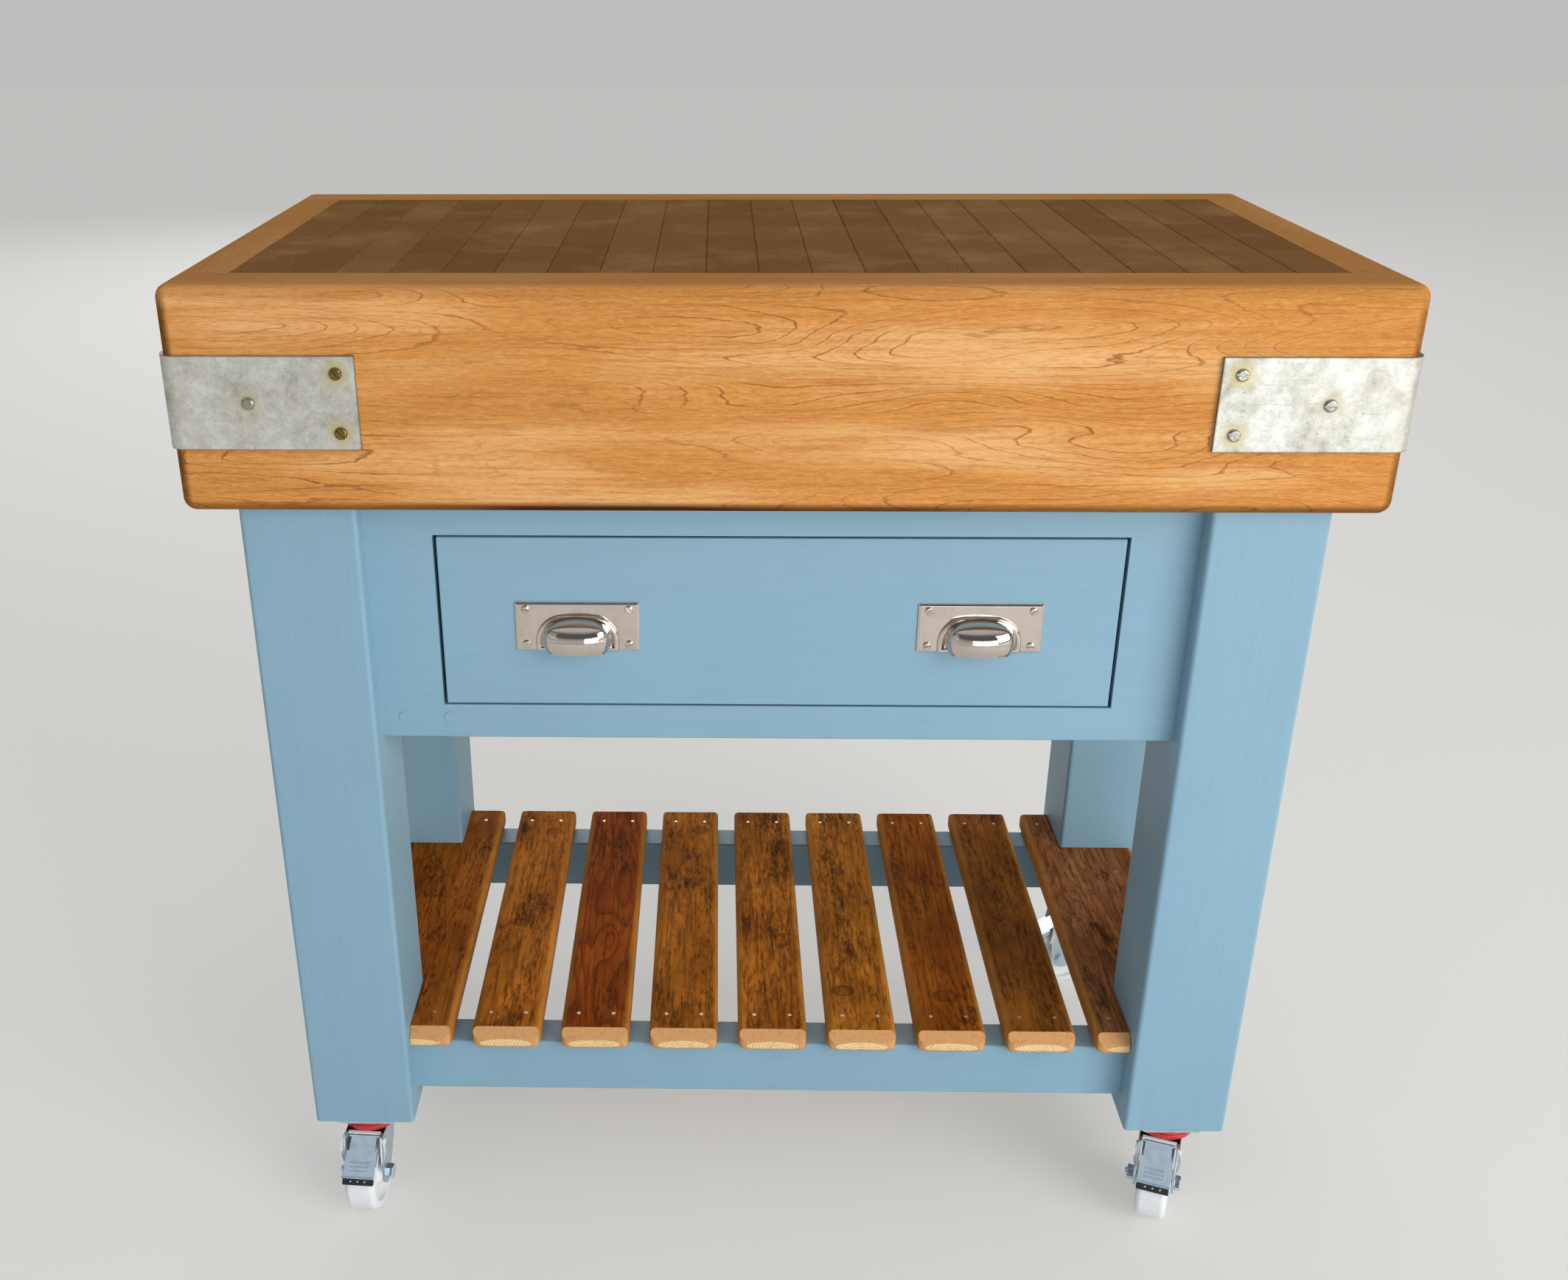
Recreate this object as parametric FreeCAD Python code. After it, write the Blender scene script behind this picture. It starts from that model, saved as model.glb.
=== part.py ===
"""Kitchen island unit: an end-grain butcher's block on a painted frame.

The frame has four square legs, mortised aprons and rails, one wide drawer with two cup pulls,
a slatted shelf and four braked swivel castors. Millimetres, +Z up. The front faces -Y. The origin
is on the floor, under the centre of the block.
"""

import FreeCAD, Part
import os
from math import cos, pi, sin

os.makedirs("parts", exist_ok=True)
Vector = FreeCAD.Vector

# ---------------------------------------------------------------- driving dimensions
worktop_height = 914.0
block_width = 960.0
block_depth = 495.0
block_thickness = 180.0

# Butcher's block: an end-grain core inside four long-grain boards, with rounded outer edges.
block_edge_radius = 11.0
end_board_thickness = 45.0
face_board_thickness = 50.0
stave_count = 21

# Bent corner straps and the slotted screws that hold them.
strap_height = 74.0
strap_arm = 150.0
strap_thickness = 3.0
strap_screw_end_inset = 15.0
strap_screw_edge_inset = 13.5
strap_screw_middle = 65.0
strap_screw_head_diameter = 10.0
strap_screw_head_height = 2.6
strap_screw_shank_diameter = 4.5
strap_screw_length = 32.0

# Legs, aprons and bottom rails.
leg_size = 96.0
leg_arris_radius = 4.0
leg_foot_radius = 6.0
side_overhang = 39.0
face_overhang = 19.0
apron_height = 220.0
apron_thickness = 32.0
apron_setback = 20.0
rail_height = 57.0
rail_thickness = 35.0
rail_setback = 26.0
rail_above_foot = 23.0
arris_radius = 2.0
tenon_thickness = 12.0
tenon_length = 30.0
tenon_shoulder = 12.0
glue_gap = 0.1

# Drawer opening, drawer box, runners and stop.
opening_end_margin = 56.5
opening_height = 156.0
opening_below_top = 32.0
drawer_side_gap = 3.0
drawer_top_gap = 2.0
drawer_bottom_gap = 1.5
drawer_front_thickness = 22.0
drawer_back_gap = 25.0
drawer_side_thickness = 12.0
drawer_side_top_gap = 7.7
drawer_side_inset = 1.0
drawer_bottom_thickness = 6.0
drawer_bottom_rise = 10.0
groove_depth = 6.0
drawer_kept_inside = 60.0
stop_gap = 1.0
stop_width = 50.0
stop_height = 46.0
stop_above_back = 18.0
slide_gap = 0.3
guide_gap = 1.5
guide_thickness = 12.0
guide_height = 40.0
runner_width = 36.0
runner_thickness = 20.0

# Cup pulls: a back plate, a raised arch and a hollow cup that is open below.
pull_from_opening_end = 118.5
pull_below_middle = 3.0
pull_plate_width = 105.0
pull_plate_height = 44.0
pull_plate_thickness = 2.0
pull_screw_spacing_x = 87.5
pull_screw_spacing_z = 32.0
arch_width = 71.0
arch_height = 34.0
arch_thickness = 3.0
arch_radius = 24.0
arch_drop = 1.0
cup_width = 58.0
cup_height = 27.0
cup_depth = 24.0
cup_radius = 13.0
cup_wall = 1.8
cup_rise = 4.0
pull_screw_head_diameter = 7.0
pull_screw_head_height = 1.8
pull_screw_shank_diameter = 3.0
pull_screw_length = 18.0

# Slatted shelf.
slat_count = 9
slat_width = 66.0
left_slat_width = 122.0
right_slat_width = 114.0
slat_thickness = 21.0
slat_overhang = 12.5
slat_corner_radius = 8.0
slat_edge_radius = 6.0
slat_end_bevel = 8.0
slat_end_bevel_rise = 8.5
outer_slat_overhang = 12.0
notch_gap = 0.5
nail_diameter = 2.8
nail_head_diameter = 3.8
nail_head_height = 1.5
nail_length = 42.0
nail_spacing = 34.0
side_nail_spacing = 160.0

# Swivel castors with a brake pedal. They sit a little in front of the legs' centres.
castor_forward = 16.0
swivel_head_height = 25.0
castor_plate_size = 60.0
castor_plate_thickness = 3.0
castor_plate_radius = 6.0
castor_screw_inset = 8.0
castor_screw_head_diameter = 9.0
castor_screw_head_height = 2.8
castor_screw_shank_diameter = 4.8
castor_screw_length = 30.0
king_pin_diameter = 12.0
king_pin_head_diameter = 19.0
king_pin_head_height = 3.6
seal_height = 10.4
seal_inset = 6.0
seal_bore = 16.0
seal_waist = 1.2
wheel_diameter = 75.0
wheel_width = 30.0
wheel_edge_radius = 6.0
wheel_hub_diameter = 24.0
wheel_hub_width = 33.0
wheel_rim = 8.5
wheel_recess_depth = 5.0
castor_trail = 28.0
fork_sheet = 2.5
fork_side_gap = 0.5
fork_crown_rim = 1.0
fork_boss_diameter = 23.0
fork_back_reach = 13.0
fork_front_reach = 39.0
fork_window_behind_pin = 6.0
axle_diameter = 8.0
bolt_head_flats = 13.0
bolt_head_height = 5.3
nut_height = 6.5
bolt_tail = 2.0
pedal_side_gap = 1.5
pedal_sheet = 1.8
pedal_flange = 5.0
pedal_length = 38.0
pedal_slope = 35.0
pedal_hinge_reach = 34.0
pedal_hinge_below_crown = 4.3
pedal_pin_diameter = 4.0
shoe_length = 13.0
shoe_beyond_pedal = 2.5
shoe_thickness = 8.0
shoe_gap = 0.4

# Clearances for turning and seated fits.
running_gap = 0.05
turn_gap = 0.3
screw_gap = 0.05
slot_width = 1.2
slot_depth = 1.0
cut_margin = 1.0

# Resting angle of each castor about its king pin, counter-clockwise from facing the front.
castor_angles = {"front_left": -4.0, "front_right": -20.0, "back_left": 172.0, "back_right": -90.0}

# ---------------------------------------------------------------- derived levels and faces
castor_height = wheel_diameter + swivel_head_height
block_underside = worktop_height - block_thickness
leg_height = block_underside - castor_height
leg_outer_x = block_width / 2 - side_overhang
leg_outer_y = block_depth / 2 - face_overhang
leg_inner_x = leg_outer_x - leg_size
leg_inner_y = leg_outer_y - leg_size
apron_bottom = block_underside - apron_height
apron_face_y = leg_outer_y - apron_setback
apron_back_y = apron_face_y - apron_thickness
rail_bottom = castor_height + rail_above_foot
rail_top = rail_bottom + rail_height
rail_face_y = leg_outer_y - rail_setback
rail_face_x = leg_outer_x - rail_setback
opening_top = block_underside - opening_below_top
opening_bottom = opening_top - opening_height
opening_width = 2 * (leg_inner_x - opening_end_margin)
drawer_side_height = opening_height - slide_gap - drawer_side_top_gap
drawer_length = apron_face_y + apron_back_y - drawer_back_gap
drawer_travel = drawer_length - drawer_kept_inside
pull_spacing = opening_width - 2 * pull_from_opening_end
slat_top = rail_top + slat_thickness
slat_half_length = rail_face_y + slat_overhang
shelf_half_width = rail_face_x + outer_slat_overhang
shelf_left_edge = left_slat_width - shelf_half_width
shelf_right_edge = shelf_half_width - right_slat_width
plain_slat_count = slat_count - 2
slat_gap = (shelf_right_edge - shelf_left_edge - plain_slat_count * slat_width) / (slat_count - 1)
castor_screw_spacing = castor_plate_size - 2 * castor_screw_inset
seal_diameter = castor_plate_size - 2 * seal_inset
fork_crown_diameter = seal_diameter + 2 * fork_crown_rim
fork_inner_x = wheel_hub_width / 2 + fork_side_gap
fork_outer_x = fork_inner_x + fork_sheet
fork_crown_top = castor_height - castor_plate_thickness - seal_height - turn_gap
wheel_radius = wheel_diameter / 2
wheel_recess_diameter = wheel_diameter - 2 * wheel_rim
pedal_width = 2 * (fork_inner_x - pedal_side_gap)
pedal_hinge_level = fork_crown_top - pedal_hinge_below_crown

# The four corners of the frame: the side of each name, as signs along X and Y.
corners = {
    f"{face}_{side}": (sign_x, sign_y)
    for face, sign_y in (("front", -1), ("back", 1))
    for side, sign_x in (("left", -1), ("right", 1))
}
nodes = {}


# ---------------------------------------------------------------- helpers
def box(low, high):
    """Return the block between two opposite corners, given in any order."""
    start = [min(a, b) for a, b in zip(low, high)]
    size = [abs(a - b) for a, b in zip(low, high)]
    return Part.makeBox(*size, Vector(*start))


def cylinder(radius, height, base, axis):
    """Return a cylinder from its base centre along an axis."""
    return Part.makeCylinder(radius, height, Vector(*base), Vector(*axis))


def edges_along(shape, axis, keep=lambda middle: True):
    """Return the straight edges along one axis whose middle point passes a test."""
    found = []
    for edge in shape.Edges:
        first, last = edge.Vertexes[0].Point, edge.Vertexes[-1].Point
        run = last.sub(first)
        if run.Length > 1e-6 and abs(run.normalize().dot(Vector(*axis))) > 0.999:
            if keep(edge.CenterOfMass):
                found.append(edge)
    return found


def prism(points, direction):
    """Return the solid that a closed polygon sweeps along a direction."""
    wire = Part.makePolygon([Vector(*p) for p in points] + [Vector(*points[0])])
    return Part.Face(wire).extrude(Vector(*direction))


def arched_plate(half_width, low, high, radius, front, back):
    """Return a plate in the XZ plane with square bottom corners and round top corners."""
    plate = box((-half_width, front, low), (half_width, back, high))
    middle = (low + high) / 2
    tops = edges_along(plate, (0, 1, 0), lambda p: p.z > middle)
    return plate.makeFillet(radius, tops)


def turned(shape, angle, centre, lift=0.0):
    """Return a castor piece, made about the Z axis, turned and moved to its place."""
    piece = shape.copy()
    piece.rotate(Vector(0, 0, 0), Vector(0, 0, 1), angle)
    piece.translate(Vector(centre[0], centre[1], lift))
    return piece


def mirrored(shape, sign_x, sign_y):
    """Return a front-right piece mirrored to another corner."""
    piece = shape
    if sign_x < 0:
        piece = piece.mirror(Vector(0, 0, 0), Vector(1, 0, 0))
    if sign_y > 0:
        piece = piece.mirror(Vector(0, 0, 0), Vector(0, 1, 0))
    return piece


def slotted_screw(head_diameter, head_height, shank_diameter, length, point, outward):
    """Return a dome-headed slotted wood screw whose head sits on a face at a point."""
    rise = head_height
    half = head_diameter / 2
    sphere = (half * half + rise * rise) / (2 * rise)
    dome = Part.makeSphere(sphere, Vector(0, 0, rise - sphere))
    head = dome.common(Part.makeCylinder(half, rise))
    slot = box((-half, -slot_width / 2, rise - slot_depth), (half, slot_width / 2, rise + cut_margin))
    shank = Part.makeCylinder(shank_diameter / 2, length, Vector(0, 0, -length))
    screw = head.cut(slot).fuse(shank)
    screw.Placement = FreeCAD.Placement(
        Vector(*point), FreeCAD.Rotation(Vector(0, 0, 1), Vector(*outward))
    )
    return screw


def screw_hole(shank_diameter, length, point, outward):
    """Return the hole for a screw's shank, from its head's seat inwards."""
    inward = [-c for c in outward]
    return cylinder(shank_diameter / 2 + screw_gap, length + screw_gap, point, inward)


# ---------------------------------------------------------------- butcher's block
def build_block():
    """Make the end-grain staves, the four boards round them, the straps and their screws."""
    half_x, half_y = block_width / 2, block_depth / 2
    core_x, core_y = half_x - end_board_thickness, half_y - face_board_thickness
    low, high = block_underside, worktop_height
    envelope = box((-half_x, -half_y, low), (half_x, half_y, high))
    envelope = envelope.makeFillet(block_edge_radius, envelope.Edges)
    stave = 2 * core_x / stave_count
    staves = [
        box((-core_x + i * stave, -core_y, low), (-core_x + (i + 1) * stave, core_y, high))
        for i in range(stave_count)
    ]
    boards = {
        "block_board_front": ((-half_x, -half_y), (half_x, -core_y)),
        "block_board_back": ((-half_x, core_y), (half_x, half_y)),
        "block_board_left": ((-half_x, -core_y), (-core_x, core_y)),
        "block_board_right": ((core_x, -core_y), (half_x, core_y)),
    }

    upright = Part.makeBox(block_width, block_depth, strap_height)
    inner = upright.makeFillet(block_edge_radius, edges_along(upright, (0, 0, 1)))
    wide = Part.makeBox(
        block_width + 2 * strap_thickness, block_depth + 2 * strap_thickness, strap_height
    )
    wide.translate(Vector(-strap_thickness, -strap_thickness, 0))
    outer = wide.makeFillet(block_edge_radius + strap_thickness, edges_along(wide, (0, 0, 1)))
    band = outer.cut(inner)
    strap_middle = (low + high) / 2
    band.translate(Vector(-half_x, -half_y, strap_middle - strap_height / 2))
    strap_corner = box(
        (half_x - strap_arm, -half_y + strap_arm, low),
        (half_x + strap_thickness, -half_y - strap_thickness, high),
    )
    strap = band.common(strap_corner)

    end_rise = strap_height / 2 - strap_screw_edge_inset
    spots = [
        (strap_screw_middle, 0.0),
        (strap_arm - strap_screw_end_inset, end_rise),
        (strap_arm - strap_screw_end_inset, -end_rise),
    ]
    seats = []
    for along, rise in spots:
        level = strap_middle + rise
        seats.append(((half_x - along, -half_y - strap_thickness, level), (0, -1, 0)))
        seats.append(((half_x + strap_thickness, -half_y + along, level), (1, 0, 0)))

    straps, screws, holes = [], [], []
    shank = (strap_screw_shank_diameter, strap_screw_length)
    head = (strap_screw_head_diameter, strap_screw_head_height)
    for sign_x, sign_y in corners.values():
        here = []
        for (x, y, z), (out_x, out_y, out_z) in seats:
            point = (x * sign_x, -y * sign_y, z)
            outward = (out_x * sign_x, -out_y * sign_y, out_z)
            screws.append(slotted_screw(*head, *shank, point, outward))
            here.append(screw_hole(*shank, point, outward))
        straps.append(mirrored(strap, sign_x, sign_y).cut(here))
        holes += here

    nodes["end_grain_core"] = staves
    for name, ((x0, y0), (x1, y1)) in boards.items():
        board = envelope.common(box((x0, y0, low), (x1, y1, high)))
        nodes[name] = [board.cut(holes)]
    nodes["corner_straps"] = straps
    nodes["strap_screws"] = screws


# ---------------------------------------------------------------- legs, aprons and rails
def tenoned_board(length, low, high, thickness, arrises):
    """Return a board along X, centred on its thickness, with a tenon at each end."""
    half = length / 2
    board = box((-half, -thickness / 2, low), (half, thickness / 2, high))
    keep = {"bottom": lambda p: p.z < (low + high) / 2, "all": lambda p: True}[arrises]
    board = board.makeFillet(arris_radius, edges_along(board, (1, 0, 0), keep))
    reach = half + tenon_length
    return board.fuse(
        box(
            (-reach, -tenon_thickness / 2, low + tenon_shoulder),
            (reach, tenon_thickness / 2, high - tenon_shoulder),
        )
    ).removeSplitter()


def mortise(low, high, along, across, axis):
    """Return the pocket for a tenon in the front-right leg, running along X or Y."""
    near = along - cut_margin
    far = along + tenon_length + glue_gap
    side = tenon_thickness / 2 + glue_gap
    bottom, top = low + tenon_shoulder - glue_gap, high - tenon_shoulder + glue_gap
    if axis == "x":
        return box((near, -across - side, bottom), (far, -across + side, top))
    return box((across - side, -near, bottom), (across + side, -far, top))


def build_frame():
    """Make the legs, the aprons and the bottom rails, joined by mortise and tenon."""
    leg = box(
        (leg_inner_x, -leg_outer_y, castor_height), (leg_outer_x, -leg_inner_y, block_underside)
    )
    leg = leg.makeFillet(leg_arris_radius, edges_along(leg, (0, 0, 1)))
    foot = [edge for edge in leg.Edges if abs(edge.BoundBox.ZMax - castor_height) < 1e-6]
    leg = leg.makeFillet(leg_foot_radius - leg_arris_radius, foot)
    apron_middle_x = leg_outer_x - apron_setback - apron_thickness / 2
    apron_middle_y = apron_face_y - apron_thickness / 2
    rail_middle_x = rail_face_x - rail_thickness / 2
    rail_middle_y = rail_face_y - rail_thickness / 2
    apron_levels = (apron_bottom, block_underside)
    rail_levels = (rail_bottom, rail_top)
    pockets = [
        mortise(*apron_levels, leg_inner_x, apron_middle_y, "x"),
        mortise(*apron_levels, leg_inner_y, apron_middle_x, "y"),
        mortise(*rail_levels, leg_inner_x, rail_middle_y, "x"),
        mortise(*rail_levels, leg_inner_y, rail_middle_x, "y"),
    ]
    for name, signs in corners.items():
        pilots = [
            screw_hole(*castor_screw_shank(), point, (0, 0, -1))
            for point in castor_screw_points(name)
        ]
        nodes[f"leg_{name}"] = [mirrored(leg.cut(pockets), *signs).cut(pilots)]

    width, depth = 2 * leg_inner_x, 2 * leg_inner_y
    face_apron = tenoned_board(width, *apron_levels, apron_thickness, "bottom")
    side_apron = tenoned_board(depth, *apron_levels, apron_thickness, "bottom")
    face_rail = tenoned_board(width, *rail_levels, rail_thickness, "all")
    side_rail = tenoned_board(depth, *rail_levels, rail_thickness, "all")
    drawer_opening = box(
        (-opening_width / 2, -apron_thickness, opening_bottom),
        (opening_width / 2, apron_thickness, opening_top),
    )
    for part, face_board, side_board, middle_x, middle_y in (
        ("apron", face_apron, side_apron, apron_middle_x, apron_middle_y),
        ("bottom_rail", face_rail, side_rail, rail_middle_x, rail_middle_y),
    ):
        for face, sign in (("front", -1), ("back", 1)):
            board = face_board.copy()
            if part == "apron" and face == "front":
                board = board.cut(drawer_opening)
            board.translate(Vector(0, sign * middle_y, 0))
            nodes[f"{face}_{part}"] = [board]
        for side, sign in (("left", -1), ("right", 1)):
            board = side_board.copy()
            board.rotate(Vector(0, 0, 0), Vector(0, 0, 1), 90)
            board.translate(Vector(sign * middle_x, 0, 0))
            nodes[f"{side}_{part}"] = [board]


# ---------------------------------------------------------------- slatted shelf
def slat(half_width, half_length):
    """Return one shelf board with rounded edges and bevelled ends, standing on Z = 0."""
    board = box((-half_width, -half_length, 0), (half_width, half_length, slat_thickness))
    board = board.makeFillet(slat_corner_radius, edges_along(board, (0, 0, 1)))
    rims = [e for e in board.Edges if e.BoundBox.ZLength < 1e-6]
    board = board.makeFillet(slat_edge_radius, rims)
    level = slat_thickness - slat_end_bevel_rise
    bevel = prism(
        [
            (-half_width, -half_length, level),
            (-half_width, -half_length + slat_end_bevel, slat_thickness),
            (-half_width, -half_length, slat_thickness),
        ],
        (2 * half_width, 0, 0),
    )
    return board.cut([bevel, mirrored(bevel, 1, 1)])


def notched_slat(sign, inner_edge):
    """Return an outermost slat, notched round the two legs at its end of the shelf."""
    half_width = (shelf_half_width - inner_edge) / 2
    board = slat(half_width, slat_half_length)
    board.translate(Vector(sign * (inner_edge + half_width), 0, rail_top))
    for end in (-1, 1):
        board = board.cut(
            box(
                (
                    sign * (leg_inner_x - notch_gap),
                    end * (leg_inner_y - notch_gap),
                    rail_top - cut_margin,
                ),
                (
                    sign * (shelf_half_width + cut_margin),
                    end * (slat_half_length + cut_margin),
                    slat_top + cut_margin,
                ),
            )
        )
    return board


def build_shelf():
    """Make the shelf slats, the two notched ones at the ends, and the nails."""
    rail_line = rail_face_y - rail_thickness / 2
    side_line = rail_face_x - rail_thickness / 2
    shapes, nail_points = [], []
    for sign, inner_edge in ((-1, -shelf_left_edge), (1, shelf_right_edge)):
        shapes.append(notched_slat(sign, inner_edge))
        tongue_line = sign * (inner_edge + leg_inner_x - notch_gap) / 2
        for side in (-1, 1):
            nail_points.append((tongue_line, side * rail_line))
            nail_points.append((sign * side_line, side * side_nail_spacing / 2))
    for i in range(plain_slat_count):
        centre = shelf_left_edge + (i + 1) * slat_gap + (i + 0.5) * slat_width
        board = slat(slat_width / 2, slat_half_length)
        board.translate(Vector(centre, 0, rail_top))
        shapes.insert(-1, board)
        for side in (-1, 1):
            for offset in (-nail_spacing / 2, nail_spacing / 2):
                nail_points.append((centre + offset, side * rail_line))

    nails, holes = [], []
    for x, y in nail_points:
        seat = slat_top - nail_head_height
        nails.append(
            cylinder(nail_diameter / 2, nail_length, (x, y, slat_top - nail_length), (0, 0, 1)).fuse(
                cylinder(nail_head_diameter / 2, nail_head_height, (x, y, seat), (0, 0, 1))
            )
        )
        bottom = slat_top - nail_length - screw_gap
        bore = cylinder(nail_diameter / 2 + screw_gap, nail_length, (x, y, bottom), (0, 0, 1))
        sink = cylinder(nail_head_diameter / 2 + screw_gap, nail_length, (x, y, seat), (0, 0, 1))
        holes.append(bore.fuse(sink))
    for i, shape in enumerate(shapes):
        nodes[f"shelf_slat_{i + 1}"] = [drilled(shape, holes)]
    for name in ("front_bottom_rail", "back_bottom_rail", "left_bottom_rail", "right_bottom_rail"):
        nodes[name] = [drilled(nodes[name][0], holes)]
    nodes["slat_nails"] = nails


def drilled(shape, holes):
    """Return a shape cut by those holes whose bounds meet it."""
    near = [hole for hole in holes if shape.BoundBox.intersect(hole.BoundBox)]
    return shape.cut(near) if near else shape


# ---------------------------------------------------------------- drawer
def build_drawer():
    """Make the inset drawer, its stop, and the runners and guides that carry it."""
    half_front = opening_width / 2 - drawer_side_gap
    front_y = -apron_face_y
    front_back_y = front_y + drawer_front_thickness
    rear_y = front_y + drawer_length
    front = box(
        (-half_front, front_y, opening_bottom + drawer_bottom_gap),
        (half_front, front_back_y, opening_top - drawer_top_gap),
    )
    front = front.makeFillet(arris_radius / 2, front.Edges)
    side_outer = half_front - drawer_side_inset
    side_inner = side_outer - drawer_side_thickness
    side_bottom = opening_bottom + slide_gap
    side_top = side_bottom + drawer_side_height
    sheet_low = side_bottom + drawer_bottom_rise
    sheet_high = sheet_low + drawer_bottom_thickness
    groove = box(
        (-side_inner - groove_depth, front_back_y - groove_depth, sheet_low - glue_gap),
        (side_inner + groove_depth, rear_y + cut_margin, sheet_high + glue_gap),
    )
    sheet = box(
        (-side_inner - groove_depth + glue_gap, front_back_y - groove_depth + glue_gap, sheet_low),
        (side_inner + groove_depth - glue_gap, rear_y, sheet_high),
    )
    back_inner_y = rear_y - drawer_side_thickness
    back = box((-side_inner, back_inner_y, sheet_high), (side_inner, rear_y, side_top))
    stop_front_y = -apron_back_y + drawer_travel + stop_gap
    stop_top = side_top + stop_above_back
    stop = box(
        (-stop_width / 2, stop_front_y, stop_top - stop_height),
        (stop_width / 2, back_inner_y, stop_top),
    )
    nodes["drawer_front"] = [front.cut([groove] + pull_pilot_holes())]
    for side, sign in (("left", -1), ("right", 1)):
        board = box(
            (sign * side_inner, front_back_y, side_bottom), (sign * side_outer, rear_y, side_top)
        )
        nodes[f"drawer_side_{side}"] = [board.cut(groove)]
    nodes["drawer_back"] = [back]
    nodes["drawer_bottom"] = [sheet]
    nodes["drawer_stop"] = [stop]

    guide_inner = side_outer + guide_gap
    guide_outer = guide_inner + guide_thickness
    runner_inner = guide_outer - runner_width
    reach = apron_back_y
    for side, sign in (("left", -1), ("right", 1)):
        ledge = box(
            (sign * runner_inner, -reach, opening_bottom - runner_thickness),
            (sign * guide_outer, reach, opening_bottom),
        )
        guide = box(
            (sign * guide_inner, -reach, opening_bottom),
            (sign * guide_outer, reach, opening_bottom + guide_height),
        )
        kicker = box(
            (sign * runner_inner, -reach, opening_top), (sign * guide_outer, reach, block_underside)
        )
        nodes[f"drawer_runner_{side}"] = [ledge.fuse(guide).removeSplitter(), kicker]


# ---------------------------------------------------------------- cup pulls
def pull_centres():
    """Return the centre of each cup pull's plate on the drawer's face."""
    level = (opening_top - drawer_top_gap + opening_bottom + drawer_bottom_gap) / 2
    level -= pull_below_middle
    return {
        "left": (-pull_spacing / 2, -apron_face_y, level),
        "right": (pull_spacing / 2, -apron_face_y, level),
    }


def pull_screw_points(thickness):
    """Return the points where the pull screws cross a plane in front of the drawer's face."""
    points = []
    for x, y, z in pull_centres().values():
        for sign_x in (-1, 1):
            for sign_z in (-1, 1):
                points.append(
                    (
                        x + sign_x * pull_screw_spacing_x / 2,
                        y - thickness,
                        z + sign_z * pull_screw_spacing_z / 2,
                    )
                )
    return points


def pull_pilot_holes():
    """Return the pilot holes in the drawer's front."""
    return [
        screw_hole(pull_screw_shank_diameter, pull_screw_length, point, (0, -1, 0))
        for point in pull_screw_points(pull_plate_thickness)
    ]


def cup_form(inset, low, high, drop):
    """Return the cup's closed form, made smaller by an inset and lengthened downwards by a drop."""
    half, depth = cup_width / 2 - inset, cup_depth - inset
    radius = cup_radius - inset
    bottom, top = low - drop, high - inset
    face = arched_plate(half, bottom, top, radius, -depth, 0)
    plan = box((-half, -depth, bottom), (half, 0, top))
    plan = plan.makeFillet(radius, edges_along(plan, (0, 0, 1), lambda p: p.y < -depth / 2))
    arms = sorted([Vector(0, -depth, 0), Vector(0, 0, top - low)], key=lambda arm: -arm.Length)
    oval = Part.Face(Part.Wire(Part.Ellipse(*arms, Vector(0, 0, 0)).toShape()))
    oval.translate(Vector(-half, 0, low))
    side = oval.extrude(Vector(2 * half, 0, 0))
    if drop > 0:
        side = side.fuse(box((-half, -depth, bottom), (half, 0, low)))
    return face.common(plan).common(side)


def build_pulls():
    """Make the two cup pulls and their slotted screws."""
    for side, (x, y, z) in pull_centres().items():
        low = -pull_plate_height / 2
        plate = box(
            (-pull_plate_width / 2, -pull_plate_thickness, low),
            (pull_plate_width / 2, 0, pull_plate_height / 2),
        )
        arch_low = low - arch_drop
        arch = arched_plate(
            arch_width / 2, arch_low, arch_low + arch_height, arch_radius,
            -pull_plate_thickness - arch_thickness, 0,
        )
        cup_low = low + cup_rise
        outer = cup_form(0, cup_low, cup_low + cup_height, 0)
        hollow = cup_form(cup_wall, cup_low, cup_low + cup_height, cup_rise + arch_drop + cut_margin)
        behind = box(
            (-cup_width / 2, -pull_plate_thickness, arch_low - cut_margin),
            (cup_width / 2, 0, pull_plate_height / 2),
        )
        pull = plate.fuse([arch, outer]).cut(hollow.cut(behind)).removeSplitter()
        pull.translate(Vector(x, y, z))
        seats = pull_screw_points(pull_plate_thickness)
        holes = [
            screw_hole(pull_screw_shank_diameter, pull_plate_thickness, point, (0, -1, 0))
            for point in seats
        ]
        nodes[f"cup_pull_{side}"] = [drilled(pull, holes)]
    nodes["pull_screws"] = [
        slotted_screw(
            pull_screw_head_diameter, pull_screw_head_height,
            pull_screw_shank_diameter, pull_screw_length, point, (0, -1, 0),
        )
        for point in pull_screw_points(pull_plate_thickness)
    ]


# ---------------------------------------------------------------- castors
def castor_centre(name):
    """Return the place of a castor's king pin in plan."""
    sign_x, sign_y = corners[name]
    middle_x = leg_outer_x - leg_size / 2
    middle_y = leg_outer_y - leg_size / 2
    return sign_x * middle_x, sign_y * middle_y - castor_forward


def castor_screw_shank():
    """Return the diameter and the length of a castor screw's shank."""
    return castor_screw_shank_diameter, castor_screw_length


def castor_screw_points(name):
    """Return the seats of a castor's four screws, on the underside of its plate."""
    x, y = castor_centre(name)
    half = castor_screw_spacing / 2
    level = castor_height - castor_plate_thickness
    return [(x + i * half, y + j * half, level) for i in (-1, 1) for j in (-1, 1)]


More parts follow.
